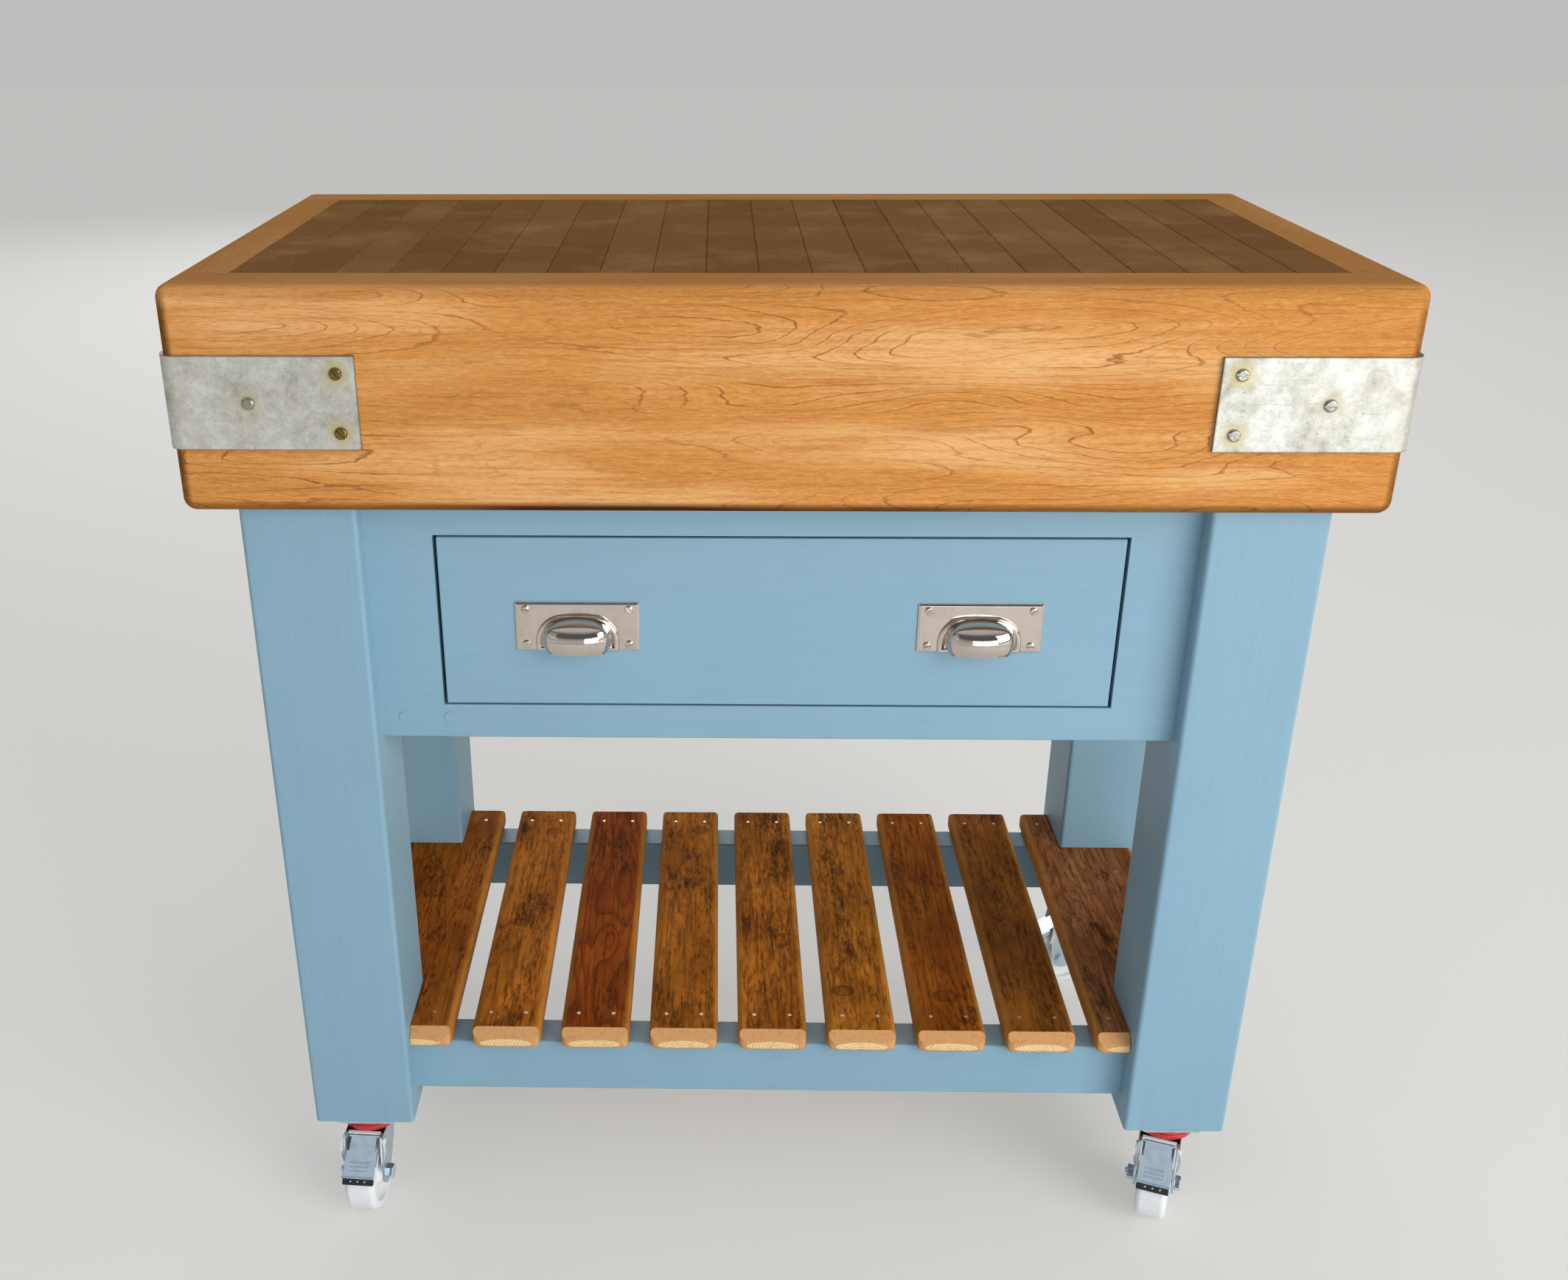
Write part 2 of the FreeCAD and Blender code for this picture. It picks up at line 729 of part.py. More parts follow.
def castor_mount_pieces():
    """Return the top plate, the seal and the king pin, which stay with the leg."""
    half = castor_plate_size / 2
    plate_low = castor_height - castor_plate_thickness
    pin_radius = king_pin_diameter / 2
    plate = box((-half, -half, plate_low), (half, half, castor_height))
    plate = plate.makeFillet(castor_plate_radius, edges_along(plate, (0, 0, 1)))
    plate = plate.cut(
        cylinder(pin_radius + running_gap, castor_plate_thickness, (0, 0, plate_low), (0, 0, 1))
    )
    seal_low = plate_low - seal_height
    outer, waist = seal_diameter / 2, seal_diameter / 2 - seal_waist
    inner, middle = seal_bore / 2, seal_low + seal_height / 2
    outline = Part.Wire(
        [
            Part.makeLine(Vector(inner, 0, seal_low), Vector(outer, 0, seal_low)),
            Part.Arc(
                Vector(outer, 0, seal_low), Vector(waist, 0, middle), Vector(outer, 0, plate_low)
            ).toShape(),
            Part.makeLine(Vector(outer, 0, plate_low), Vector(inner, 0, plate_low)),
            Part.makeLine(Vector(inner, 0, plate_low), Vector(inner, 0, seal_low)),
        ]
    )
    seal = Part.Face(outline).revolve(Vector(0, 0, 0), Vector(0, 0, 1), 360)
    head_top = fork_crown_top - fork_sheet - turn_gap
    pin = cylinder(pin_radius, castor_height - head_top, (0, 0, head_top), (0, 0, 1)).fuse(
        cylinder(
            king_pin_head_diameter / 2, king_pin_head_height,
            (0, 0, head_top - king_pin_head_height), (0, 0, 1),
        )
    )
    return plate, seal, pin


def castor_fork():
    """Return the folded fork: a round crown and two cheeks that trail towards -Y."""
    low = fork_crown_top - fork_sheet
    crown = cylinder(fork_crown_diameter / 2, fork_sheet, (0, 0, low), (0, 0, 1))
    bridge = box(
        (-fork_outer_x, -fork_front_reach + fork_sheet, low),
        (fork_outer_x, fork_back_reach, fork_crown_top),
    )
    boss = fork_boss_diameter / 2
    cheek = prism(
        [
            (-fork_outer_x, fork_back_reach, fork_crown_top),
            (-fork_outer_x, -castor_trail + boss, wheel_radius),
            (-fork_outer_x, -castor_trail - boss, wheel_radius),
            (-fork_outer_x, -fork_front_reach - fork_sheet, fork_crown_top - fork_boss_diameter),
            (-fork_outer_x, -fork_front_reach, fork_crown_top),
        ],
        (fork_sheet, 0, 0),
    )
    axle_point = (-fork_outer_x, -castor_trail, wheel_radius)
    cheek = cheek.fuse(cylinder(boss, fork_sheet, axle_point, (1, 0, 0)))
    fork = crown.fuse([bridge, cheek, cheek.mirror(Vector(0, 0, 0), Vector(1, 0, 0))])
    window_half = pedal_width / 2 + fork_side_gap
    window = box(
        (-window_half, -fork_front_reach - cut_margin, low - cut_margin),
        (window_half, -pedal_hinge_reach + fork_window_behind_pin, fork_crown_top + cut_margin),
    )
    pin_hole = king_pin_diameter / 2 + running_gap
    reach = 2 * (fork_outer_x + cut_margin)
    cuts = [
        window,
        cylinder(pin_hole, fork_sheet + 2 * cut_margin, (0, 0, low - cut_margin), (0, 0, 1)),
        cylinder(
            axle_diameter / 2 + running_gap, reach,
            (-reach / 2, -castor_trail, wheel_radius), (1, 0, 0),
        ),
        cylinder(
            pedal_pin_diameter / 2 + running_gap, reach,
            (-reach / 2, -pedal_hinge_reach, pedal_hinge_level), (1, 0, 0),
        ),
    ]
    return fork.cut(cuts).removeSplitter()


def hexagon(flats, height, start):
    """Return a hexagonal prism along +X, centred on the X axis."""
    radius = flats / 2 / cos(pi / 6)
    points = [
        (start, radius * cos(k * pi / 3), radius * sin(k * pi / 3)) for k in range(6)
    ]
    return prism(points, (height, 0, 0))


def castor_axle():
    """Return the axle bolt and its nut."""
    tail = fork_outer_x + nut_height + bolt_tail
    bolt = cylinder(axle_diameter / 2, tail + fork_outer_x, (-tail, 0, 0), (1, 0, 0)).fuse(
        hexagon(bolt_head_flats, bolt_head_height, fork_outer_x)
    )
    nut = hexagon(bolt_head_flats, nut_height, -fork_outer_x - nut_height).cut(
        cylinder(axle_diameter / 2 + running_gap, tail, (-tail, 0, 0), (1, 0, 0))
    )
    for piece in (bolt, nut):
        piece.translate(Vector(0, -castor_trail, wheel_radius))
    return [bolt, nut]


def castor_wheel():
    """Return the solid wheel: a rounded tread, a recess on each side and a hub with its bore."""
    half = wheel_width / 2
    tyre = cylinder(wheel_radius, wheel_width, (-half, 0, 0), (1, 0, 0))
    tyre = tyre.makeFillet(wheel_edge_radius, tyre.Edges)
    for start in (-half, half - wheel_recess_depth):
        tyre = tyre.cut(
            cylinder(wheel_recess_diameter / 2, wheel_recess_depth, (start, 0, 0), (1, 0, 0))
        )
    hub_half = wheel_hub_width / 2
    wheel = tyre.fuse(
        cylinder(wheel_hub_diameter / 2, wheel_hub_width, (-hub_half, 0, 0), (1, 0, 0))
    )
    bore = axle_diameter / 2 + running_gap
    wheel = wheel.cut(cylinder(bore, wheel_hub_width, (-hub_half, 0, 0), (1, 0, 0)))
    wheel.translate(Vector(0, -castor_trail, wheel_radius))
    return wheel


def castor_pedal():
    """Return the brake pedal with its pin, and the brake shoe under its tip."""
    half = pedal_width / 2
    tread = box((-half, -pedal_length, 0), (half, 0, pedal_sheet))
    tread = tread.fuse(
        [
            box((-half, -pedal_length, -pedal_flange), (-half + pedal_sheet, 0, pedal_sheet)),
            box((half - pedal_sheet, -pedal_length, -pedal_flange), (half, 0, pedal_sheet)),
        ]
    ).removeSplitter()
    shoe_end = -pedal_length - shoe_beyond_pedal
    inside = half - pedal_sheet - glue_gap
    shoe = box((-inside, shoe_end, -shoe_thickness), (inside, shoe_end + shoe_length, 0))
    pieces = []
    for piece in (tread, shoe):
        piece.rotate(Vector(0, 0, 0), Vector(1, 0, 0), pedal_slope)
        piece.translate(Vector(0, -pedal_hinge_reach, pedal_hinge_level))
        pieces.append(piece)
    path = cylinder(
        wheel_radius + shoe_gap, 2 * fork_outer_x,
        (-fork_outer_x, -castor_trail, wheel_radius), (1, 0, 0),
    )
    pin = cylinder(
        pedal_pin_diameter / 2, 2 * fork_outer_x,
        (-fork_outer_x, -pedal_hinge_reach, pedal_hinge_level), (1, 0, 0),
    )
    return [pieces[0].fuse(pin).cut(path), pieces[1].cut(path)]


def build_castors():
    """Make the four castors: fixed pieces in shared groups, turning pieces one by one."""
    groups = {"castor_plates": [], "castor_seals": [], "castor_king_pins": [], "castor_screws": []}
    plate, seal, pin = castor_mount_pieces()
    turning = {
        "fork": [castor_fork()],
        "axle": castor_axle(),
        "wheel": [castor_wheel()],
        "pedal": castor_pedal(),
    }
    head = (castor_screw_head_diameter, castor_screw_head_height)
    for name in corners:
        centre = castor_centre(name)
        holes = [
            screw_hole(castor_screw_shank_diameter, castor_plate_thickness, point, (0, 0, -1))
            for point in castor_screw_points(name)
        ]
        groups["castor_plates"].append(turned(plate, 0, centre).cut(holes))
        groups["castor_seals"].append(turned(seal, 0, centre))
        groups["castor_king_pins"].append(turned(pin, 0, centre))
        for point in castor_screw_points(name):
            screw = slotted_screw(*head, *castor_screw_shank(), point, (0, 0, -1))
            groups["castor_screws"].append(screw)
        for piece, shapes in turning.items():
            nodes[f"castor_{piece}_{name}"] = [
                turned(shape, castor_angles[name], centre) for shape in shapes
            ]
    nodes.update(groups)


# ---------------------------------------------------------------- build and write
build_block()
build_frame()
build_shelf()
build_drawer()
build_pulls()
build_castors()

for node, shapes in nodes.items():
    solids = [solid for shape in shapes for solid in shape.Solids]
    broken = [s for s in solids if not s.isValid() or s.Volume <= 0]
    if broken or len(solids) != len(shapes):
        print(f"check {node}: {len(shapes)} pieces, {len(solids)} solids, {len(broken)} broken")
    whole = solids[0] if len(solids) == 1 else Part.makeCompound(solids)
    whole.exportStep(f"parts/{node}.step")
print(len(nodes), "nodes")
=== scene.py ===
"""Looks for the kitchen island unit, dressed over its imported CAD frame.

A butcher's block of end-grain maple inside long-grain boards, strapped at the corners, stands on a
painted frame with a wide drawer, a slatted shelf and four braked castors. Metres, +Z up, front to -Y.
"""

from __future__ import annotations

import logging
import math
import random
from collections.abc import Callable, Iterator, Sequence
from contextlib import contextmanager
from dataclasses import dataclass, field
from enum import Enum
from typing import Any

import bpy
from mathutils import Matrix, Vector

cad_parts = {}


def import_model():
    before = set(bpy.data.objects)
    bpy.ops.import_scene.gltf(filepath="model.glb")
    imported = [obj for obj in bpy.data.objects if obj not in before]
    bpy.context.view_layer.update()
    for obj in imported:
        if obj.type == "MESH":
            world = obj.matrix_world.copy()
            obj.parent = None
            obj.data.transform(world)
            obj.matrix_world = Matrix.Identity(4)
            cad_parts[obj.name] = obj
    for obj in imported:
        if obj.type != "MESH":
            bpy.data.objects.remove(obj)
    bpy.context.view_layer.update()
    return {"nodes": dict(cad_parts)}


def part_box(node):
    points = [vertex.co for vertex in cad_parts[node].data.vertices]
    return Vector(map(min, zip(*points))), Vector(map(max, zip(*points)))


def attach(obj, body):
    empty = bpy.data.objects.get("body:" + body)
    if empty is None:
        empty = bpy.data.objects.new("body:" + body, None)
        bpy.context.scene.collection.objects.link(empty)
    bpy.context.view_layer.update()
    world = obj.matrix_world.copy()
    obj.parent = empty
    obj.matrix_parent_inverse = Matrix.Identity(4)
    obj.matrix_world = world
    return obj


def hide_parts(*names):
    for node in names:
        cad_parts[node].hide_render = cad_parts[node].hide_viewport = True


LOG = logging.getLogger("island")
MM = 0.001
Stops = Sequence[tuple[float, str]]
Spots = tuple[tuple[float, float, float], ...]
Test = Callable[[Vector, Vector], bool]
Thing = bpy.types.Object
Node = bpy.types.Node


# ------------------------------------------------------------------ choices
class Along(Enum):
    """Which way a board's grain runs, as the turn that lays it along X."""

    WIDTH = (0.0, 0.0, 0.0)
    DEPTH = (0.0, 0.0, -math.pi / 2)
    HEIGHT = (0.0, math.pi / 2, 0.0)


class Pick(Enum):
    """What an edit works on."""

    VERT = "vertices"
    EDGE = "edges"
    FACE = "polygons"


class Corner(Enum):
    """The four corners of the unit, as signs along X and Y, seen from the front."""

    FRONT_LEFT = (-1, -1)
    FRONT_RIGHT = (1, -1)
    BACK_LEFT = (-1, 1)
    BACK_RIGHT = (1, 1)

    @property
    def label(self) -> str:
        """The corner's name as the CAD nodes write it."""
        return self.name.lower()


# ------------------------------------------------------------------ shading
def linear(code: str) -> tuple[float, float, float, float]:
    """Turn an sRGB hex code into a linear colour.

    Args:
        code: Six hex digits after a hash.

    Returns:
        Red, green, blue and an alpha of one.
    """
    parts = [int(code[i : i + 2], 16) / 255 for i in (1, 3, 5)]
    red, green, blue = (c / 12.92 if c <= 0.04045 else ((c + 0.055) / 1.055) ** 2.4 for c in parts)
    return red, green, blue, 1.0


class Graph:
    """One material's node tree."""

    def __init__(self, name: str) -> None:
        """Start an empty material.

        Args:
            name: The finish's name.
        """
        self.material = bpy.data.materials.new(name)
        self.material.use_nodes = True
        self.tree = self.material.node_tree
        self.tree.nodes.clear()

    @classmethod
    def over(cls, tree: bpy.types.NodeTree) -> Graph:
        """Clear a tree that is no material's, such as the sky's.

        Args:
            tree: The tree.

        Returns:
            The graph.
        """
        graph = cls.__new__(cls)
        graph.tree = tree
        tree.nodes.clear()
        return graph

    def add(self, kind: str, inputs: dict[str | int, Any] | None = None, stops: Stops | None = None,
            **settings: Any) -> Node:
        """Add a node with its settings and links.

        Args:
            kind: The node's type, without the words before it.
            inputs: A value, node or socket for each input, by name or number.
            stops: A colour ramp's places and hex colours.
            **settings: The node's own settings.

        Returns:
            The new node.
        """
        node = self.tree.nodes.new("ShaderNode" + kind)
        for key, value in settings.items():
            setattr(node, key, value)
        for key, value in (inputs or {}).items():
            if isinstance(key, int):
                socket = node.inputs[key]
            else:
                socket = next(s for s in node.inputs if s.enabled and s.name == key)
            if isinstance(value, Node):
                value = next(s for s in value.outputs if s.enabled)
            if isinstance(value, bpy.types.NodeSocket):
                self.tree.links.new(value, socket)
            elif isinstance(value, str):
                socket.default_value = linear(value)
            else:
                socket.default_value = value
        if stops:
            ramp = node.color_ramp
            while len(ramp.elements) > 1:
                ramp.elements.remove(ramp.elements[-1])
            ramp.elements[0].position, ramp.elements[0].color = stops[0][0], linear(stops[0][1])
            for place, code in stops[1:]:
                ramp.elements.new(place).color = linear(code)
        return node

    def streaks(self, board: Node, scale: Sequence[float], detail: float = 2.0, roughness: float = 0.5,
                start: Sequence[float] = (0, 0, 0)) -> Node:
        """Draw noise that is stretched along a board.

        Args:
            board: The board's coordinates.
            scale: How many cells there are in a metre, along it and across.
            detail: The noise's octaves.
            roughness: How strong the finer octaves are.
            start: Where in the noise the board begins.

        Returns:
            The noise.
        """
        place = self.add("Mapping", {"Vector": board, "Scale": scale, "Location": start})
        return self.add("TexNoise", {"Vector": place, "Scale": 1.0, "Detail": detail, "Roughness": roughness})

    def stained(self, under: Any, by: Any, reach: tuple[float, float], most: float, over: Any,
                least: float = 0.0) -> Node:
        """Lay one colour over another where a pattern is strong.

        Args:
            under: The colour below.
            by: The pattern.
            reach: The pattern's values where the stain starts and where it is full.
            most: How far the full stain covers.
            over: The stain's colour.
            least: How far it covers where it starts.

        Returns:
            The stained colour.
        """
        amount = self.add("MapRange", {"Value": by, "From Min": reach[0], "From Max": reach[1],
                                       "To Min": least, "To Max": most})
        return self.add("Mix", {"Factor": amount, "A": under, "B": over}, data_type="RGBA")

    def done(self, colour: Any, rough: Node, relief: Any, strength: float, distance: float,
             **gloss: float) -> bpy.types.Material:
        """Finish the material with its gloss and its relief.

        Args:
            colour: Its colour.
            rough: Its roughness.
            relief: The pattern that stands up from it.
            strength: How much of the relief shows.
            distance: The relief's height, in metres.
            **gloss: The shader's plain values, by name, with underscores for spaces.

        Returns:
            The material.
        """
        bump = self.add("Bump", {"Strength": strength, "Distance": distance, "Height": relief})
        plain = {name.replace("_", " "): value for name, value in gloss.items()}
        return self.closed(self.add("BsdfPrincipled", {"Base Color": colour, "Roughness": rough, **plain,
                                                       "Normal": bump}))

    def closed(self, surface: Node) -> bpy.types.Material:
        """Wire the surface to the output and return the material."""
        self.add("OutputMaterial", {"Surface": surface})
        return self.material


@dataclass(frozen=True)
class Figure:
    """The contour lines that growth rings draw on a flat-sawn board."""

    along: Along
    seed: float
    ring_count: float
    length_mm: float
    breadth_mm: float
    jag: float = 0.25
    run_per_m: float = 0.0

    def draw(self, graph: Graph, knots: Spots = ()) -> tuple[Node, Node]:
        """Draw the rings.

        Args:
            graph: The material being made.
            knots: Each knot's place along and across the board, and its radius, in metres.

        Returns:
            The board's own coordinates, grain along X, and a saw tooth from ring to ring.
        """
        place = graph.add("TexCoord").outputs["Object"]
        board = graph.add("Mapping", {"Vector": place, "Rotation": self.along.value})
        stretch = (1000 / self.length_mm, 1000 / self.breadth_mm, 1000 / self.breadth_mm)
        growth = graph.streaks(board, stretch, 1.2, 0.35, (self.seed, self.seed * 1.7, 0))
        ragged = graph.streaks(board, tuple(16 * s for s in stretch))
        rings = graph.add("Math", {0: growth, 1: self.ring_count}, operation="MULTIPLY")
        rings = graph.add("Math", {0: ragged, 1: self.jag, 2: rings}, operation="MULTIPLY_ADD")
        if self.run_per_m:
            axes = graph.add("SeparateXYZ", {0: board})
            across = graph.add("Math", {0: axes.outputs["Y"], 1: axes.outputs["Z"]}, operation="ADD")
            rings = graph.add("Math", {0: across, 1: self.run_per_m, 2: rings}, operation="MULTIPLY_ADD")
        for along_m, across_m, radius in knots:
            near = graph.add("Mapping", {
                "Vector": board, "Location": (-0.4 * along_m / radius, -across_m / radius, 0),
                "Scale": (0.4 / radius, 1 / radius, 0)})
            reach = graph.add("VectorMath", {0: near}, operation="LENGTH").outputs["Value"]
            falling = graph.add("Math", {0: reach, 1: 0.7}, operation="ADD")
            swell = graph.add("Math", {0: 3.0, 1: falling}, operation="DIVIDE")
            rings = graph.add("Math", {0: rings, 1: swell}, operation="ADD")
        return board, graph.add("Math", {0: rings}, operation="FRACT")


@dataclass(frozen=True)
class OiledMaple:
    """Maple, flat-sawn, planed and oiled: honey wood with thin red-brown contour lines."""

    name: str
    figure: Figure
    pale: str = "#E4A969"
    warm: str = "#D7944F"
    line: str = "#7E3F19"
    rubbed: str = "#532A10"
    # The colour painted on the top faces as shade, darker than the front.
    painted_top_shade: str = "#B07F4C"

    def make(self) -> bpy.types.Material:
        """Lay tone streaks with painted sheen, growth lines, fibres, flecks and dark rubbed arrises; paint
        shade on the top.

        Returns:
            The material.
        """
        g = Graph(self.name)
        board, saw = self.figure.draw(g)
        # Satin streaks, 300 mm long and 40 mm wide: partly the wood's own tone, partly a painted sheen where
        # the fibres change their lean.
        satin = g.streaks(board, (3.2, 24, 24), 3.0)
        wood = g.add("ValToRGB", {"Fac": satin}, stops=(
            (0.3, "#CE8D4A"), (0.46, self.warm), (0.58, self.pale), (0.74, "#EBB87B")))
        # Each growth line is about 1 mm wide, and fades in and out along its length.
        ring = g.add("ValToRGB", {"Fac": saw}, stops=(
            (0.0, "#000000"), (0.55, "#000000"), (0.9, "#484848"), (0.94, "#F0F0F0"), (0.985, "#F0F0F0"),
            (1.0, "#000000")))
        # A second set of fainter, closer lines runs between the first.
        close = g.add("Math", {0: saw, 1: 3.0}, operation="MULTIPLY")
        close = g.add("ValToRGB", {"Fac": g.add("Math", {0: close}, operation="FRACT")}, stops=(
            (0.0, "#000000"), (0.72, "#000000"), (0.9, "#7A7A7A"), (0.98, "#7A7A7A"), (1.0, "#000000")))
        ring = g.add("Mix", {"Factor": 1.0, "A": ring, "B": close}, data_type="RGBA", blend_type="LIGHTEN")
        fade = g.streaks(board, (5, 14, 14))
        shown = g.add("MapRange", {"Value": fade, "From Min": 0.35, "From Max": 0.62,
                                   "To Min": 0.16, "To Max": 0.82})
        lines = g.add("Math", {0: ring, 1: shown}, operation="MULTIPLY")
        wood = g.add("Mix", {"Factor": lines, "A": wood, "B": self.line}, data_type="RGBA")
        # Long fibres, drawn 3 mm wide, and short flecks, drawn 1 mm wide, so that they show.
        fibre = g.streaks(board, (11, 330, 330), 5.0, 0.72)
        wood = g.stained(wood, fibre, (0.48, 0.64), 0.4, "#A9642C")
        fleck = g.streaks(board, (150, 1000, 1000), 3.0, 0.6)
        wood = g.stained(wood, fleck, (0.53, 0.68), 0.28, "#9A5722")
        wood = g.stained(wood, fleck, (0.34, 0.46), 0.0, "#F3C790", 0.22)
        pin_knots = g.add("TexVoronoi", {"Vector": board, "Scale": 15.0, "Randomness": 1.0})
        wood = g.stained(wood, pin_knots, (0.014, 0.034), 0.0, self.rubbed, 0.8)
        edge = block_arris(g)
        patch = g.add("MapRange", {"Value": satin, "From Min": 0.3, "From Max": 0.65,
                                   "To Min": 0.45, "To Max": 1.0})
        worn = g.add("Math", {0: edge, 1: patch}, operation="MULTIPLY", use_clamp=True)
        wood = g.add("Mix", {"Factor": worn, "A": wood, "B": self.rubbed}, data_type="RGBA")
        # Painted shade: the top faces are drawn darker than the front, as the light falls on them less.
        lean = g.add("SeparateXYZ", {0: g.add("TexCoord").outputs["Normal"]}).outputs["Z"]
        wood = g.stained(wood, lean, (0.8, 0.99), 0.72, self.painted_top_shade)
        rough = g.add("MapRange", {"Value": satin, "To Min": 0.42, "To Max": 0.58})
        relief = g.add("Math", {0: fleck, 1: fibre}, operation="ADD")
        return g.done(wood, rough, relief, 0.1, 0.0003, IOR=1.47, Specular_IOR_Level=0.0)


def block_arris(g: Graph) -> Node:
    """Find the butcher's block's outer arrises.

    Args:
        g: The material being made.

    Returns:
        A node whose value rises to one where two of the block's faces meet.
    """
    low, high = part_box("block_board_front")
    top = high.z
    middle_z, half_z = (low.z + top) / 2, (top - low.z) / 2
    arris_width = 0.0105
    place = g.add("TexCoord").outputs["Object"]
    centred = g.add("VectorMath", {0: place, 1: (0, 0, middle_z)}, operation="SUBTRACT")
    size = g.add("VectorMath", {0: centred}, operation="ABSOLUTE")
    inside = g.add("VectorMath", {0: (high.x, -low.y, half_z), 1: size}, operation="SUBTRACT")
    near = g.add("VectorMath", {0: inside, 1: (-1 / arris_width,) * 3, 2: (1, 1, 1)},
                 operation="MULTIPLY_ADD")
    near = g.add("VectorMath", {0: near, 1: (0, 0, 0)}, operation="MAXIMUM")
    sides = g.add("SeparateXYZ", {0: near}).outputs
    pairs = [g.add("Math", {0: sides[i], 1: sides[j]}, operation="MULTIPLY")
             for i, j in ((0, 1), (1, 2), (2, 0))]
    total = g.add("Math", {0: pairs[0], 1: pairs[1]}, operation="ADD")
    total = g.add("Math", {0: total, 1: pairs[2]}, operation="ADD")
    total = g.add("Math", {0: total, 1: 2.4}, operation="MULTIPLY", use_clamp=True)
    # Hands and cloths keep the top arris pale, and dirt gathers on the lower ones.
    height = g.add("SeparateXYZ", {0: place}).outputs["Z"]
    lower = g.add("MapRange", {"Value": height, "From Min": top - 0.02, "From Max": top - 0.004,
                               "To Min": 1.0, "To Max": 0.12})
    return g.add("Math", {0: total, 1: lower}, operation="MULTIPLY")


@dataclass(frozen=True)
class OiledEndGrain:
    """Maple end grain, sanded and oiled: close arcs of rings, each piece of its own brown."""

    name: str = "oiled_end_grain"
    ring_mm: float = 3.4

    def make(self) -> bpy.types.Material:
        """Draw rings round the pith and in the tone that each piece's mesh holds.

        Returns:
            The material.
        """
        g = Graph(self.name)
        place = g.add("TexCoord").outputs["Object"]
        pith = g.add("Attribute", attribute_name="pith").outputs["Vector"]
        tone = g.add("Attribute", attribute_name="tone").outputs["Fac"]
        out = g.add("VectorMath", {0: place, 1: pith}, operation="SUBTRACT")
        flat = g.add("VectorMath", {0: out, 1: (1, 1, 0)}, operation="MULTIPLY")
        reach = g.add("VectorMath", {0: flat}, operation="LENGTH").outputs["Value"]
        wander = g.add("TexNoise", {"Vector": place, "Scale": 45.0, "Detail": 2.0})
        rings = g.add("Math", {0: reach, 1: 1000 / self.ring_mm}, operation="MULTIPLY")
        rings = g.add("Math", {0: wander, 1: 2.2, 2: rings}, operation="MULTIPLY_ADD")
        saw = g.add("Math", {0: rings}, operation="FRACT")
        wood = g.add("ValToRGB", {"Fac": tone}, stops=(
            (0.0, "#805B38"), (0.35, "#88623C"), (0.6, "#8F6840"), (0.85, "#966E45"), (1.0, "#9D754A")))
        wood = g.stained(wood, saw, (0.55, 0.97), 0.3, "#3E2412")
        cloud = g.add("TexNoise", {"Vector": place, "Scale": 11.0, "Detail": 5.0, "Roughness": 0.65})
        wood = g.stained(wood, cloud, (0.5, 0.74), 0.5, "#B18C62")
        # Pores, drawn 1.6 mm wide so that they show.
        pores = g.add("TexNoise", {"Vector": place, "Scale": 620.0, "Detail": 2.0})
        wood = g.stained(wood, pores, (0.55, 0.72), 0.3, "#3B2210")
        rough = g.add("MapRange", {"Value": cloud, "To Min": 0.5, "To Max": 0.72})
        return g.done(wood, rough, pores, 0.15, 0.0003, IOR=1.47, Specular_IOR_Level=0.0)


@dataclass(frozen=True)
class BrushedPaint:
    """Water-based satin paint, brushed over pine: fine strokes, and the grain just telling through."""

    name: str
    figure: Figure
    colour: str = "#86ACC0"

    def make(self) -> bpy.types.Material:
        """Lay strokes along the board, over faint grain and slight cloudiness.

        Returns:
            The material.
        """
        g = Graph(self.name)
        board, saw = self.figure.draw(g)
        # Bristle strokes, drawn 1.6 mm wide so that they show.
        stroke = g.streaks(board, (7, 620, 620), 3.0, 0.6)
        cloud = g.add("TexNoise", {"Vector": board, "Scale": 7.0, "Detail": 3.0})
        paint = g.stained(self.colour, stroke, (0.35, 0.7), 0.16, "#9BBDCF")
        paint = g.stained(paint, cloud, (0.4, 0.75), 0.22, "#779CB0")
        paint = g.stained(paint, saw, (0.72, 1.0), 0.06, "#6C8FA2")
        rough = g.add("MapRange", {"Value": stroke, "To Min": 0.38, "To Max": 0.6})
        relief = g.add("Math", {0: saw, 1: 0.5, 2: stroke}, operation="MULTIPLY_ADD")
        return g.done(paint, rough, relief, 0.22, 0.0004, IOR=1.46)


